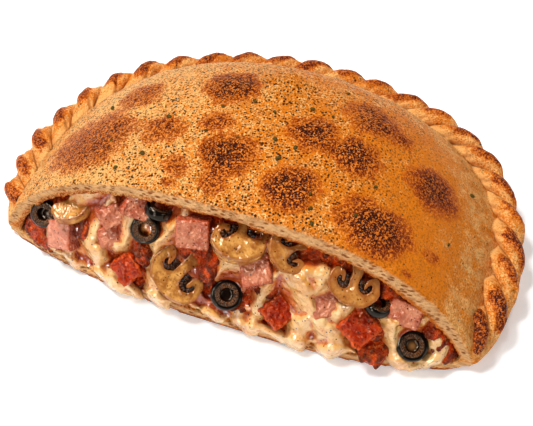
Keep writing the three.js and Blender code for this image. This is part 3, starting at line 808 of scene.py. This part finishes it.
def set_in_face(mesh, piece, depth):
    """Keeps a piece's own places for its finish, then turns it out of the filling's face."""
    mesh.attributes.new("own", "FLOAT_VECTOR", "POINT").data.foreach_set(
        "vector", corners(mesh).astype(np.float32).ravel())
    basis = Matrix((FACE_RIGHT, FACE_UP, FACE_OUT)).transposed().to_4x4()
    spot = Matrix.Translation((piece["x"], float(face_depth(piece["x"], piece["z"])), piece["z"]))
    mesh.transform(spot @ basis @ Matrix.Translation((0, 0, piece["proud"] - depth / 2))
                   @ Matrix.Rotation(math.radians(piece["tip"]), 4, "Y")
                   @ Matrix.Rotation(math.radians(piece["nod"]), 4, "X")
                   @ Matrix.Rotation(math.radians(piece["turn"]), 4, "Z"))


def own_shift(piece):
    """Moves each piece's noise to a part of the pattern of its own."""
    return np.array((piece["x"], piece["z"], 0))


OLIVES = [
    placed(-110, 27, 15.4, -14, 8, 5.5, bottom=4.6),
    placed(-45, 47, 16, -12, 8, 3.6),
    placed(4, 23, 16.8, 4, -3, 3.4, bottom=4.6),
    placed(105, 16, 16.6, -5, -6, 3.6, bottom=1.6),
    placed(-39, 60, 15, 35, -50, -0.5),
    placed(84, 39, 15, 20, -35, 1.5),
]


def olive_ring(name, olive):
    radius, half = olive["size"] / 2, OLIVE_LENGTH / 2
    hole, bottom = radius * OLIVE_HOLE, olive.get("bottom", OLIVE_LENGTH)
    profile = [(hole, half - bottom)]
    if "bottom" in olive:
        profile += [(0, half - bottom + 0.4), (0, -half)]
    profile += [(radius + out, up - half) for out, up in RING_FOOT] + [(radius + 0.15, 0)]
    profile += [(radius + out, half + up) for out, up in RING_SHOULDER]
    profile += [(hole + out, half + up) for out, up in RING_MOUTH]
    bm = turned([*profile, profile[0]], 56)
    bmesh.ops.subdivide_edges(bm, edges=bm.edges, cuts=1, use_grid_fill=True)
    ring = made(name, bm)
    raise_by(ring.data, 0.22 * lumps(corners(ring.data) + own_shift(olive), 3.5, 31))
    ring.data.transform(Matrix.Diagonal((1.03, 1, 1, 1)))
    note(ring.data, "plug", np.full(len(ring.data.vertices), bottom < OLIVE_LENGTH / 2))
    set_in_face(ring.data, olive, OLIVE_LENGTH)
    return ring


rings = [olive_ring(f"olive_ring_{number}", olive) for number, olive in enumerate(OLIVES, 1)]
stoned = Finish("black_olive", (5, 3, 2), Specular_IOR_Level=0.22, Specular_Tint=(1, 0.8, 0.6, 1))
own = stoned.noted("own", "Vector")
from_axis = stoned.stretched(own, (1, 1, 0))
reach = stoned.node("ShaderNodeVectorMath", {"operation": "LENGTH"}, {0: from_axis}, 1)
ray = stoned.node("ShaderNodeVectorMath", {"operation": "NORMALIZE"}, {0: from_axis})
fibres = stoned.node("ShaderNodeTexNoise", {}, {"Vector": ray, "Scale": 9.0, "Detail": 3.0})
grains = stoned.node("ShaderNodeTexNoise", {}, {"Vector": own, "Scale": 1.6, "Detail": 3.0})
flesh = reach.within(6.6, 6.0) * reach.within(3.2, 3.8)
flesh_colour = stoned.blend((fibres * 0.6 + grains).within(0.72, 1.05), (30, 14, 5), (136, 80, 40))
# Painted shade: the inside of an open hole is painted near black, and the filling that plugs a hole darkens
# towards its rim, where the ring's wall shades it.
plug = stoned.blend(reach.within(3.4, 0.0), (16, 7, 3), (132, 88, 46))
hole = stoned.blend(stoned.noted("plug"), (28, 9, 4), plug)
stoned.coat(reach.within(3.4, 3.0), hole)
stoned.coat(flesh, flesh_colour)
stoned.feed(Roughness=flesh * 0.05 + 0.11)
stoned.relief(grains * flesh, 0.9)
stoned.on(*rings)
for number, ring in enumerate(rings, 1):
    seat(ring, f"olive_{number}", slot="olive")


# ---- Mushrooms -------------------------------------------------------
# Button mushrooms, sliced from cap to stem and cooked in the filling. Each slice is tan and wet, with
# the dark gills curled between the cap and the stem.

MUSHROOMS = [
    placed(-92, 41, 23, -10, -25, 2.5, turn=200, thick=7, edge_cut=True, bare=0.1),
    placed(-24, 26, 33, 4, 6, 2.8, turn=128, thick=6),
    placed(7, 57, 30, 6, -22, 3, turn=175, thick=8, cap_depth=0.24),
    placed(33, 58, 24, 14, -4, 2, turn=110, thick=7, browned=0.25),
    placed(70, 48, 27, 0, 0, 3, turn=160, thick=6, browned=0.5),
]
# Half of the cap's outline from its rim to its top, as shares of half the slice's width
CAP_SIDE = [(1, 0.04), (0.97, 0.24), (0.89, 0.42), (0.76, 0.58), (0.57, 0.7), (0.32, 0.78), (0, 0.81)]
# The rest of a slice through the stem, and of one from the edge of a cap
STEM_SIDE = [
    (0, -0.82), (0.13, -0.83), (0.26, -0.8), (0.22, -0.6), (0.17, -0.38), (0.16, -0.12), (0.2, 0.07),
    (0.32, 0.2), (0.48, 0.23), (0.62, 0.14), (0.7, -0.01), (0.69, -0.14), (0.61, -0.19), (0.56, -0.12),
    (0.53, -0.02), (0.46, 0.04), (0.4, -0.02), (0.42, -0.14), (0.43, -0.28), (0.49, -0.4), (0.6, -0.48),
    (0.72, -0.52), (0.84, -0.48), (0.93, -0.35), (0.98, -0.16),
]
EDGE_SIDE = [(0, -0.3), (0.5, -0.31), (0.84, -0.28), (0.96, -0.14)]
FILLING_GRAIN = 0.5
# How far a slice's outline wanders from the drawn one
WANDER = 0.09
GILL_LINE = [
    (0.29, -0.26), (0.28, -0.12), (0.31, 0.02), (0.38, 0.11), (0.49, 0.14), (0.58, 0.07), (0.63, -0.04),
    (0.63, -0.13),
]
# Without a seed the vector noise starts from the clock
noise.seed_set(11)


def drawn(mushroom, side, line):
    """A line on a slice, with the slice's own lean and unevenness; a thick cap pushes the gills down."""
    seed = mushroom["turn"]
    places = []
    for x, y in line:
        below = max(0.3 - y, 0)
        wander = noise.noise_vector(Vector((side * x * 2.2, y * 2.2, seed)))
        y -= mushroom.get("cap_depth", 0) * float(clamp((0.75 - math.hypot(x, y)) / 0.3))
        places.append((side * x + WANDER * wander.x + math.sin(seed) * 0.18 * below, y + WANDER * wander.y))
    return places


def mushroom_slice(name, mushroom):
    half, thick, edge_cut = mushroom["size"] / 2, mushroom["thick"], "edge_cut" in mushroom
    side = (EDGE_SIDE if edge_cut else STEM_SIDE) + CAP_SIDE
    outline = drawn(mushroom, 1, side) + drawn(mushroom, -1, side[-2:0:-1])
    bm = bmesh.new()
    sheet = bm.faces.new([bm.verts.new((x * half, y * half, -thick / 2)) for x, y in outline])
    top = bmesh.ops.extrude_face_region(bm, geom=[sheet])
    bmesh.ops.translate(bm, verts=new_corners(top), vec=(0, 0, thick))
    piece = made(name, bm)
    even(piece, FILLING_GRAIN, 5)
    places = corners(piece.data)
    shifted = places + own_shift(mushroom)
    x, y = places[:, 0] / half, places[:, 1] / half
    dark = drawn(mushroom, -1, GILL_LINE) + drawn(mushroom, 1, GILL_LINE)
    by_gills = np.min([np.hypot(x - gill_x, y - gill_y) for gill_x, gill_y in dark], axis=0)
    note(piece.data, "shade", smoothly(0.26, 0.06, by_gills) * (not edge_cut))
    note(piece.data, "rind", 0.75 * smoothly(-0.1, -0.35, hollowness(piece.data, 24)))
    note(piece.data, "browned", mushroom.get("browned", 0) + 0.25 * lumps(shifted, 9, 43))
    raise_by(piece.data, 0.5 * lumps(shifted, 8, 41) + 0.16 * lumps(shifted, 2.5, 42))
    return piece


def gills(name, mushroom):
    """Thin dark blades that fill the two hollows between the stem and the cap."""
    half, thick = mushroom["size"] / 2, mushroom["thick"]
    shake = random.Random(mushroom["turn"])
    bm = bmesh.new()
    for side in (-1, 1):
        line = drawn(mushroom, side, GILL_LINE)
        for step, ((x0, y0), (x1, y1)) in enumerate(zip(line, line[1:])):
            lean = math.atan2(y1 - y0, x1 - x0)
            for share in (0, 0.33, 0.67):
                x, y = mix(x0, x1, share), mix(y0, y1, share)
                size = (shake.uniform(0.4, 0.8), mix(0.3, 0.15, step / 6) * half * shake.uniform(0.6, 1.2),
                        thick * shake.uniform(0.5, 0.95))
                spot = Matrix.Translation((x * half, y * half, 0))
                bmesh.ops.create_cube(bm, size=1, matrix=spot @ Matrix.Rotation(lean, 4, "Z")
                                      @ Matrix.Diagonal((*size, 1)))
    return made(name, bm)


cooked = Finish("cooked_mushroom", (212, 152, 76), Roughness=0.15, Specular_IOR_Level=0.4,
                Specular_Tint=(1, 0.85, 0.65, 1))
cooked.coat(cooked.grain(5, 3, 0.55).within(0.35, 0.7), (150, 84, 26))
cooked.coat(cooked.noted("browned"), (150, 76, 24))
cooked.coat(cooked.noted("shade") * 0.65, (98, 48, 18))
cooked.coat(cooked.noted("rind"), (150, 80, 28))
cooked.coat(cooked.grain(1.4).within(0.55, 0.68) * 0.6, (140, 78, 36))
cooked.pepper(2.4, 0.21, 0.11)
cooked.relief(cooked.grain(4.5), 1.5)
gill_dark = Finish("mushroom_gills", (20, 9, 4), Roughness=0.25, Specular_IOR_Level=0.2)
gill_dark.coat(gill_dark.grain(1.5).within(0.4, 0.65), (96, 54, 26))
for number, mushroom in enumerate(MUSHROOMS, 1):
    piece = mushroom_slice(f"mushroom_slice_{number}", mushroom)
    cooked.on(piece)
    set_in_face(piece.data, mushroom, mushroom["thick"])
    seat(piece, f"mushroom_{number}", slot="mushroom")
    if "edge_cut" not in mushroom:
        comb = gills(f"gills_{number}", mushroom)
        gill_dark.on(comb)
        set_in_face(comb.data, mushroom, mushroom["thick"])
        seat(comb, slot="mushroom")


# ---- Ham -------------------------------------------------------------
# Cooked ham cut by hand into cubes. The cut faces are pink, wet and finely pored; three cubes are
# coated in the red sauce, and those deeper in the filling are partly under the cheese.

HAMS = [
    placed(-95, 23, (16, 17, 16), -32, 10, 5, turn=-8, light=0.35),
    placed(-67, 48, (14, 12, 13), 12, 20, 3.5, turn=30),
    placed(-51, 58, (18, 13, 14), 10, 12, 2.5, turn=-22),
    placed(-66, 35, (13, 12, 12), -10, 8, 1.5, turn=12),
    placed(-18, 56, (18, 17, 17), -8, 24, 5, turn=-6),
    placed(19, 43, (16, 16.5, 15), -8, -8, 5, turn=9),
    placed(57, 34, (15, 14, 13), 0, 4, 1.6, turn=14),
    placed(98, 37, (17, 14, 15), -6, 18, 2.8, turn=-20),
    placed(-53, 20, (15, 15, 14), -20, 12, 6, turn=32),
    placed(32, 22, (15, 15, 14), 12, 4, 4.5, turn=40),
    placed(77, 25, (17.5, 17.5, 16), -6, 2, 6, turn=42),
]
SAUCED = (9, 10, 11)
HAM_ARRIS = 1.1


def ham_cube(name, ham, rough):
    bm = bmesh.new()
    bmesh.ops.create_cube(bm, size=1, matrix=Matrix.Diagonal((*ham["size"], 1)))
    bmesh.ops.bevel(bm, geom=bm.edges[:], offset=HAM_ARRIS, segments=3, profile=0.5, affect="EDGES",
                    material=-1)
    piece = made(name, bm)
    even(piece, FILLING_GRAIN, 3)
    places = corners(piece.data)
    shifted = places + own_shift(ham)
    uneven = 0.8 * lumps(shifted, 9, 51) + 0.25 * lumps(shifted, 3.4, 52)
    if rough:
        uneven += 0.9 * smoothly(0.7, 0.1, pits(shifted, 3.4, 53)) - 0.3
    sides = np.sort(np.abs(places) / (np.array(ham["size"]) / 2), axis=1)
    note(piece.data, "arris", smoothly(0.72, 0.98, sides[:, 1]))
    # Marks the faces that turn away from the filling's face, where shade is painted.
    note(piece.data, "side", smoothly(0.9, 0.5, facings(piece.data)[:, 2]))
    note(piece.data, "light", np.full(len(places), ham.get("light", 0)))
    raise_by(piece.data, uneven)
    set_in_face(piece.data, ham, ham["size"][2])
    return piece


pink = Finish("cooked_ham", (200, 122, 86), Roughness=0.13, Specular_IOR_Level=0.4,
              Specular_Tint=(1, 0.85, 0.7, 1))
pink.coat(pink.grain(7, 3).within(0.3, 0.7), (164, 68, 38))
pink.coat(pink.noted("light"), (240, 160, 130))
# Painted shade: the faces turned away from the filling's face are painted a darker red.
pink.coat(pink.noted("side") * 0.6, (150, 46, 22))
pink.coat(pink.noted("arris") * 0.6, (178, 66, 24))
pink.coat(pink.grain(1.6).within(0.56, 0.7) * 0.4, (236, 172, 138))
pink.pepper(2.7, 0.21, 0.11, (74, 22, 9))
pink.relief(pink.grain(3.4), 3.2)
sauced = Finish("sauced_ham", (140, 22, 2), Roughness=0.11, Specular_IOR_Level=0.25,
                Specular_Tint=(1, 0.6, 0.35, 1))
sauced.coat(sauced.grain(5, 3, 0.6).within(0.35, 0.7), (186, 54, 9))
sauced.coat(sauced.noted("arris") * 0.5, (214, 86, 20))
sauced.coat(sauced.grain(1.5).within(0.58, 0.68) * 0.6, (100, 12, 3))
sauced.pepper(2.5, 0.23, 0.12)
sauced.relief(sauced.grain(3), 3.2)
for number, ham in enumerate(HAMS, 1):
    piece = ham_cube(f"ham_cube_{number}", ham, number in SAUCED)
    (sauced if number in SAUCED else pink).on(piece)
    seat(piece, f"ham_{number}", slot="ham")


# ---- Cheese ----------------------------------------------------------
# Mozzarella melted over the filling. It lies in thick soft folds between the pieces, glossy with oil,
# and runs down in drips that hang over the floor's edge.

# Each run is a line of soft lumps down the face: place along the cut, height and radius
CHEESE_RUNS = [
    [(-72, 54, 6.4), (-77, 49, 7.4), (-84, 42, 8.6), (-88, 36, 5.6)],
    [(-57, 49, 4.4), (-58, 44, 4.4), (-61, 39, 2.7)],
    [(-75, 36, 2.7), (-77, 30, 4.0), (-79, 23, 5.3), (-75, 20, 6.2), (-74, 15, 4.0), (-73, 9, 2.7)],
    [(-52, 39, 4.0), (-57, 35, 4.4), (-63, 29, 3.2)],
    [(-65, 10, 3.6), (-62, 0, 6.2), (-60, -3, 5.2)],
    [(-54, 5, 3.1), (-50, -1, 3.4)],
    [(-38, 22, 4.4), (-38, 13, 4.9), (-36, 4, 5.5), (-34, 0, 4.0)],
    [(-39, 30, 3.1), (-39, 25, 3.1)],
    [(-30, 63, 6.4), (-32, 58, 7.4), (-31, 54, 6.4), (-34, 49, 5.8), (-37, 43, 5.0), (-38, 38, 3.4)],
    [(-19, 45, 2.7), (-17, 51, 3.6), (-14, 48, 4.0), (-12, 44, 2.2)],
    [(0, 43, 4.0), (5, 41, 4.9), (9, 36, 4.4)],
    [(-3, 34, 3.6), (1, 34, 4.4)],
    [(-6, 7, 3.1), (-1, 3, 3.1)],
    [(-105, 19, 3.1), (-106, 13, 3.1), (-104, 9, 3.6), (-102, 7, 2.7)],
    [(-93, 11, 3.6), (-91, 5, 4.0), (-90, 0, 2.7)],
    [(-72, 7, 4.0), (-69, 3, 3.1)],
    [(2, 43, 3.9), (4, 41, 4.8), (8, 35, 4.3), (9, 30, 2.9)],
    [(41, 40, 8.4), (45, 32, 8.0), (48, 28, 3.9)],
    [(36, 43, 5.5), (35, 36, 5.0)],
    [(36, 44, 4.3), (40, 46, 4.3), (46, 49, 3.9)],
    [(53, 49, 4.8), (52, 44, 4.3), (56, 42, 2.9)],
    [(34, 40, 5.4), (28, 34, 5.4), (25, 27, 4.6), (23, 20, 3.4), (21, 12, 2.9), (19, 6, 3.7), (18, -1, 2.9)],
    [(11, 13, 3.4), (13, 6, 3.4)],
    [(51, 28, 4.3), (47, 21, 5.8), (45, 11, 4.8), (43, 2, 4.8), (45, -2, 2.9)],
    [(55, 23, 5.8), (61, 17, 7.2), (66, 11, 5.8), (62, 2, 4.8), (62, -3, 2.7)],
    [(63, 27, 4.3), (66, 32, 3.9)],
    [(70, 34, 2.9), (69, 28, 2.7)],
    [(92, 31, 6.0), (95, 25, 4.8), (95, 17, 3.4), (97, 10, 3.9), (101, 0, 3.9), (105, -1, 2.9)],
    [(115, 18, 3.4), (119, 12, 3.7), (115, 6, 3.4), (113, 1, 1.9)],
    [(109, 33, 2.4), (107, 32, 3.4)],
    [(24, 7, 2.9), (30, 6, 2.7)],
    [(33, 6, 3.4), (37, 2, 2.9)],
]
# Where the sauce shows through: place along the cut, height, half width and half height
SAUCE_WINDOWS = [
    (-123, 16, 14, 18), (-83, 29, 5.5, 6), (-45, 33, 7, 6), (-7, 30, 4.5, 14), (50, 57, 15, 8),
    (62, 57, 12, 8), (-65, 19, 5.5, 6.5), (17, 28, 4.5, 5), (90, 48, 9, 6), (120, 21, 10, 13),
    (87, 9, 9, 9), (-46, 10, 6, 5), (-3, 68, 12, 5), (-62, 60, 8, 3), (-22, 5, 5, 3), (30, 9, 4, 4),
]
CHEESE_HALF_WIDTH = 127
CHEESE_GRAIN = 0.75
CHEESE_THINNING = 0.75
# How sharply a fold meets its neighbour, and how much wider and higher than a bare tube a run lies
FOLD_SHARPNESS = 2.2
RUN_SPREAD = 1.3
RUN_RISE = 1.15
# Deep enough to be wholly under the sauce
SUNK = 9
LOWEST_DRIP = 0.4
PLUGGED_OLIVES = (2,)
PLUG_HEIGHT = 1.2
PLUG_FALL = 6
# How far out from its middle each kind of piece stays bare, as a share of its size
HOLE_BARE = 0.3
MUSHROOM_BARE = 0.44
HAM_BARE = 0.5
HALF_COVERED_HAMS = (2, 3, 4, 7)
DRIP_LINE = 5.5


def on_face(x, z):
    return np.stack([x, face_depth(x, z), z], axis=-1)


def beyond(places, piece, reach):
    """How far outside a round or square outline on a piece's face each place lies."""
    away = places - on_face(float(piece["x"]), float(piece["z"]))
    across, upward = away @ FACE_RIGHT, away @ FACE_UP
    if not isinstance(reach, tuple):
        return np.maximum(np.hypot(across, upward) - reach, 0)
    turn = math.radians(piece["turn"])
    by_width = np.abs(across * math.cos(turn) + upward * math.sin(turn)) - reach[0]
    by_height = np.abs(upward * math.cos(turn) - across * math.sin(turn)) - reach[1]
    return np.maximum(np.maximum(by_width, by_height), 0)


def room_over(places, piece, reach, inset=1.6, slope=1.5):
    """How far the cheese may stand out so that it stays below a piece's face and round its sides."""
    away = places - on_face(float(piece["x"]), float(piece["z"]))
    return piece["proud"] - away @ FACE_OUT - inset + slope * beyond(places, piece, reach)


cheese, x, z, flat, rear = slab("melted_cheese", 330, 110, CHEESE_HALF_WIDTH, -5, 1)
window = np.zeros_like(x)
ragged = 0.2 * lumps(flat, 4, 64)
for spot in SAUCE_WINDOWS:
    window = np.maximum(window, smoothly(1.3, 0.75, out_over(spot, x, z) + ragged))
lowest = DRIP_LINE + 3 * lumps(flat * (1, 0, 0), 9, 63)
sheet = 2.8 * lumps(flat, 8, 65) + 1.5 * lumps(flat, 3.6, 66) - 1.4
sheet -= 6 * smoothly(ceiling(x) - 12, ceiling(x) - 5, z)
sheet -= SUNK * (window + smoothly(lowest + 1.5, lowest - 2.5, z) + smoothly(112, 124, np.abs(x)))
folds = np.exp(FOLD_SHARPNESS * sheet)
for run in CHEESE_RUNS:
    highest = np.full_like(x, -SUNK)
    for (x0, z0, r0), (x1, z1, r1) in zip(run, run[1:]):
        run_x, run_z = x1 - x0, z1 - z0
        share = clamp(((x - x0) * run_x + (z - z0) * run_z) / (run_x ** 2 + run_z ** 2))
        radius = mix(r0, r1, share)
        away = np.hypot(x - x0 - share * run_x, z - z0 - share * run_z) / (RUN_SPREAD * radius)
        highest = np.maximum(highest, RUN_RISE * radius * (1 - away ** 2))
    folds += np.exp(FOLD_SHARPNESS * highest)
stand_out = np.log(folds) / FOLD_SHARPNESS + lumps(flat, 5, 67) + 0.5 * lumps(flat, 2.6, 69)
skin = on_face(x, z)
for number, olive in enumerate(OLIVES, 1):
    stand_out = np.minimum(stand_out, room_over(skin, olive, olive["size"] / 2))
    if number in PLUGGED_OLIVES:
        stand_out = np.maximum(stand_out, PLUG_HEIGHT - PLUG_FALL * beyond(skin, olive, 1))
    else:
        stand_out = np.minimum(stand_out, room_over(skin, olive, olive["size"] * HOLE_BARE, SUNK, 9))
for mushroom in MUSHROOMS:
    reach = mushroom["size"] * mushroom.get("bare", MUSHROOM_BARE)
    stand_out = np.minimum(stand_out, room_over(skin, mushroom, reach))
for number, ham in enumerate(HAMS, 1):
    bare = HAM_BARE / 2 if number in HALF_COVERED_HAMS else HAM_BARE
    reach = tuple(side * bare for side in ham["size"][:2])
    stand_out = np.minimum(stand_out, room_over(skin, ham, reach))
hang = (FACE_EDGE_SETBACK + 1) / -FACE_OUT[1] * smoothly(12, 4, z)
stand_out = np.minimum(stand_out + hang, (ceiling(x) - 1 - z) / FACE_OUT[2])
skin += np.maximum(stand_out, -SUNK)[:, None] * FACE_OUT
skin[:, 2] = np.maximum(skin[:, 2], LOWEST_DRIP)
back_face = np.stack([x, np.maximum(face_depth(x, z) + 10, skin[:, 1] + 1.5), np.maximum(z, 1)], axis=1)
move_to(cheese.data, np.where(rear[:, None], back_face, skin))
even(cheese, CHEESE_GRAIN, 3)
combined(cheese, [space_by_edge(1, -5, FLOOR_THICKNESS + GAP, clearance=GAP)], "DIFFERENCE")
x, y, z = corners(cheese.data).T
thinned(cheese, y > face_depth(x, z) + 6, CHEESE_THINNING)
places = corners(cheese.data)
x, y, z = places.T
note(cheese.data, "low", smoothly(2.6, -1.0, face_depth(x, z) - y + 1.2 * lumps(places, 6, 68)))
raise_by(cheese.data, 0.35 * lumps(places, 3, 62))
# Marks the valleys between the folds, where oil stains the cheese and shade is painted.
note(cheese.data, "fold_stain_and_shade", smoothly(0.0, 0.5, hollowness(cheese.data, 14)))
seat(cheese, "cheese", slot="cheese")
curd = Finish(
    "melted_mozzarella", (228, 182, 116), Roughness=0.17, Specular_IOR_Level=0.5, Coat_Weight=0.7,
    Coat_Roughness=0.06, Subsurface_Weight=0.2, Subsurface_Radius=(1, 0.6, 0.3), Subsurface_Scale=0.003,
)
stain = curd.grain(7, 4, 0.65)
is_low = curd.noted("low")
fold_stain_and_shade = curd.noted("fold_stain_and_shade")
# The cheese is stained orange where it lies low over the sauce and by oil, and its valleys are also darkened
# as painted shade.
stain_and_shade = (is_low * 0.9 + stain * 1.6 + fold_stain_and_shade * 0.9).within(0.8, 1.6)
curd.coat(curd.grain(14).within(0.35, 0.7), (216, 150, 66))
curd.coat(stain_and_shade * 0.85, (204, 104, 36))
curd.coat((is_low + stain + fold_stain_and_shade * 0.35).within(1.25, 1.6) * 0.85, (160, 46, 8))
curd.coat(curd.grain(1.3).within(0.58, 0.68) * (stain_and_shade * 0.6 + 0.4), (184, 88, 28))
curd.pepper(3.0, 0.2, 0.1)
curd.relief(curd.grain(5, 2, 0.45), 2.8)
curd.on(cheese)


# ---- Table, light and camera -----------------------------------------
# A plain white table under a large soft lamp, seen from the front, a little from the right and well
# above.

TABLE_HALF_WIDTH = 4
# The table lies a hair under the crust, so that the two don't share a plane
TABLE_DROP = 0.1 * MM
CAMERA_AIM = Vector((0, 50 - CUT_TO_MIDDLE, 25)) * MM
CAMERA_DISTANCE = 0.6694
CAMERA_AZIMUTH = 19.99
CAMERA_ELEVATION = 50.4
MIDDLE = Vector((0, 0, 0.03))
FILLING = Vector((0, -0.07, 0.03))

bm = bmesh.new()
bmesh.ops.create_grid(bm, x_segments=1, y_segments=1, size=TABLE_HALF_WIDTH)
bmesh.ops.translate(bm, verts=bm.verts, vec=(0, 0, -TABLE_DROP))
table = made("table", bm)
white = Finish("white_table", (243.4, 243.4, 243.4), Roughness=0.8, Emission_Color=(1, 1, 1, 1),
               Emission_Strength=0.25)
white.on(table)

back = Vector(outward(CAMERA_AZIMUTH, CAMERA_ELEVATION))
camera = put_in_scene("camera", bpy.data.cameras.new("camera"))
camera.data.lens = 80
camera.data.sensor_width = 36
camera.data.shift_x = 0.01184
camera.data.shift_y = -0.0161
camera.location = CAMERA_AIM + back * CAMERA_DISTANCE
camera.rotation_euler = (-back).to_track_quat("-Z", "Y").to_euler()
bpy.context.scene.camera = camera

world = bpy.data.worlds.new("studio")
world.use_nodes = True
world.node_tree.nodes["Background"].inputs["Color"].default_value = (1, 1, 1, 1)
world.node_tree.nodes["Background"].inputs["Strength"].default_value = 0.16
bpy.context.scene.world = world


def lamp(name, place, size, watts, glints_only=False):
    """A round soft lamp. One for glints only shows in what is wet and lights nothing else."""
    light = bpy.data.lights.new(name, "AREA")
    light.shape = "DISK"
    light.size = size
    light.energy = watts
    holder = put_in_scene(name, light)
    holder.location = place
    aim = FILLING if glints_only else MIDDLE
    holder.rotation_euler = (aim - Vector(place)).to_track_quat("-Z", "Y").to_euler()
    holder.visible_diffuse = not glints_only


lamp("key", (-0.42, -0.06, 1.08), 0.35, 14.5)
lamp("side", (1.1, -0.5, 0.5), 0.5, 3)
lamp("fill", (-0.3, -1.2, 0.6), 0.4, 4.8)
lamp("rear", (0.1, 0.9, 0.9), 0.12, 3)
lamp("glint_high", (-0.35, -0.62, 0.95), 0.26, 14, glints_only=True)
lamp("glint_left", (-0.85, -0.7, 0.5), 0.2, 5, glints_only=True)
lamp("glint_low", (-0.25, -1.2, 0.1), 0.16, 4, glints_only=True)
bpy.context.scene.view_settings.view_transform = "Standard"
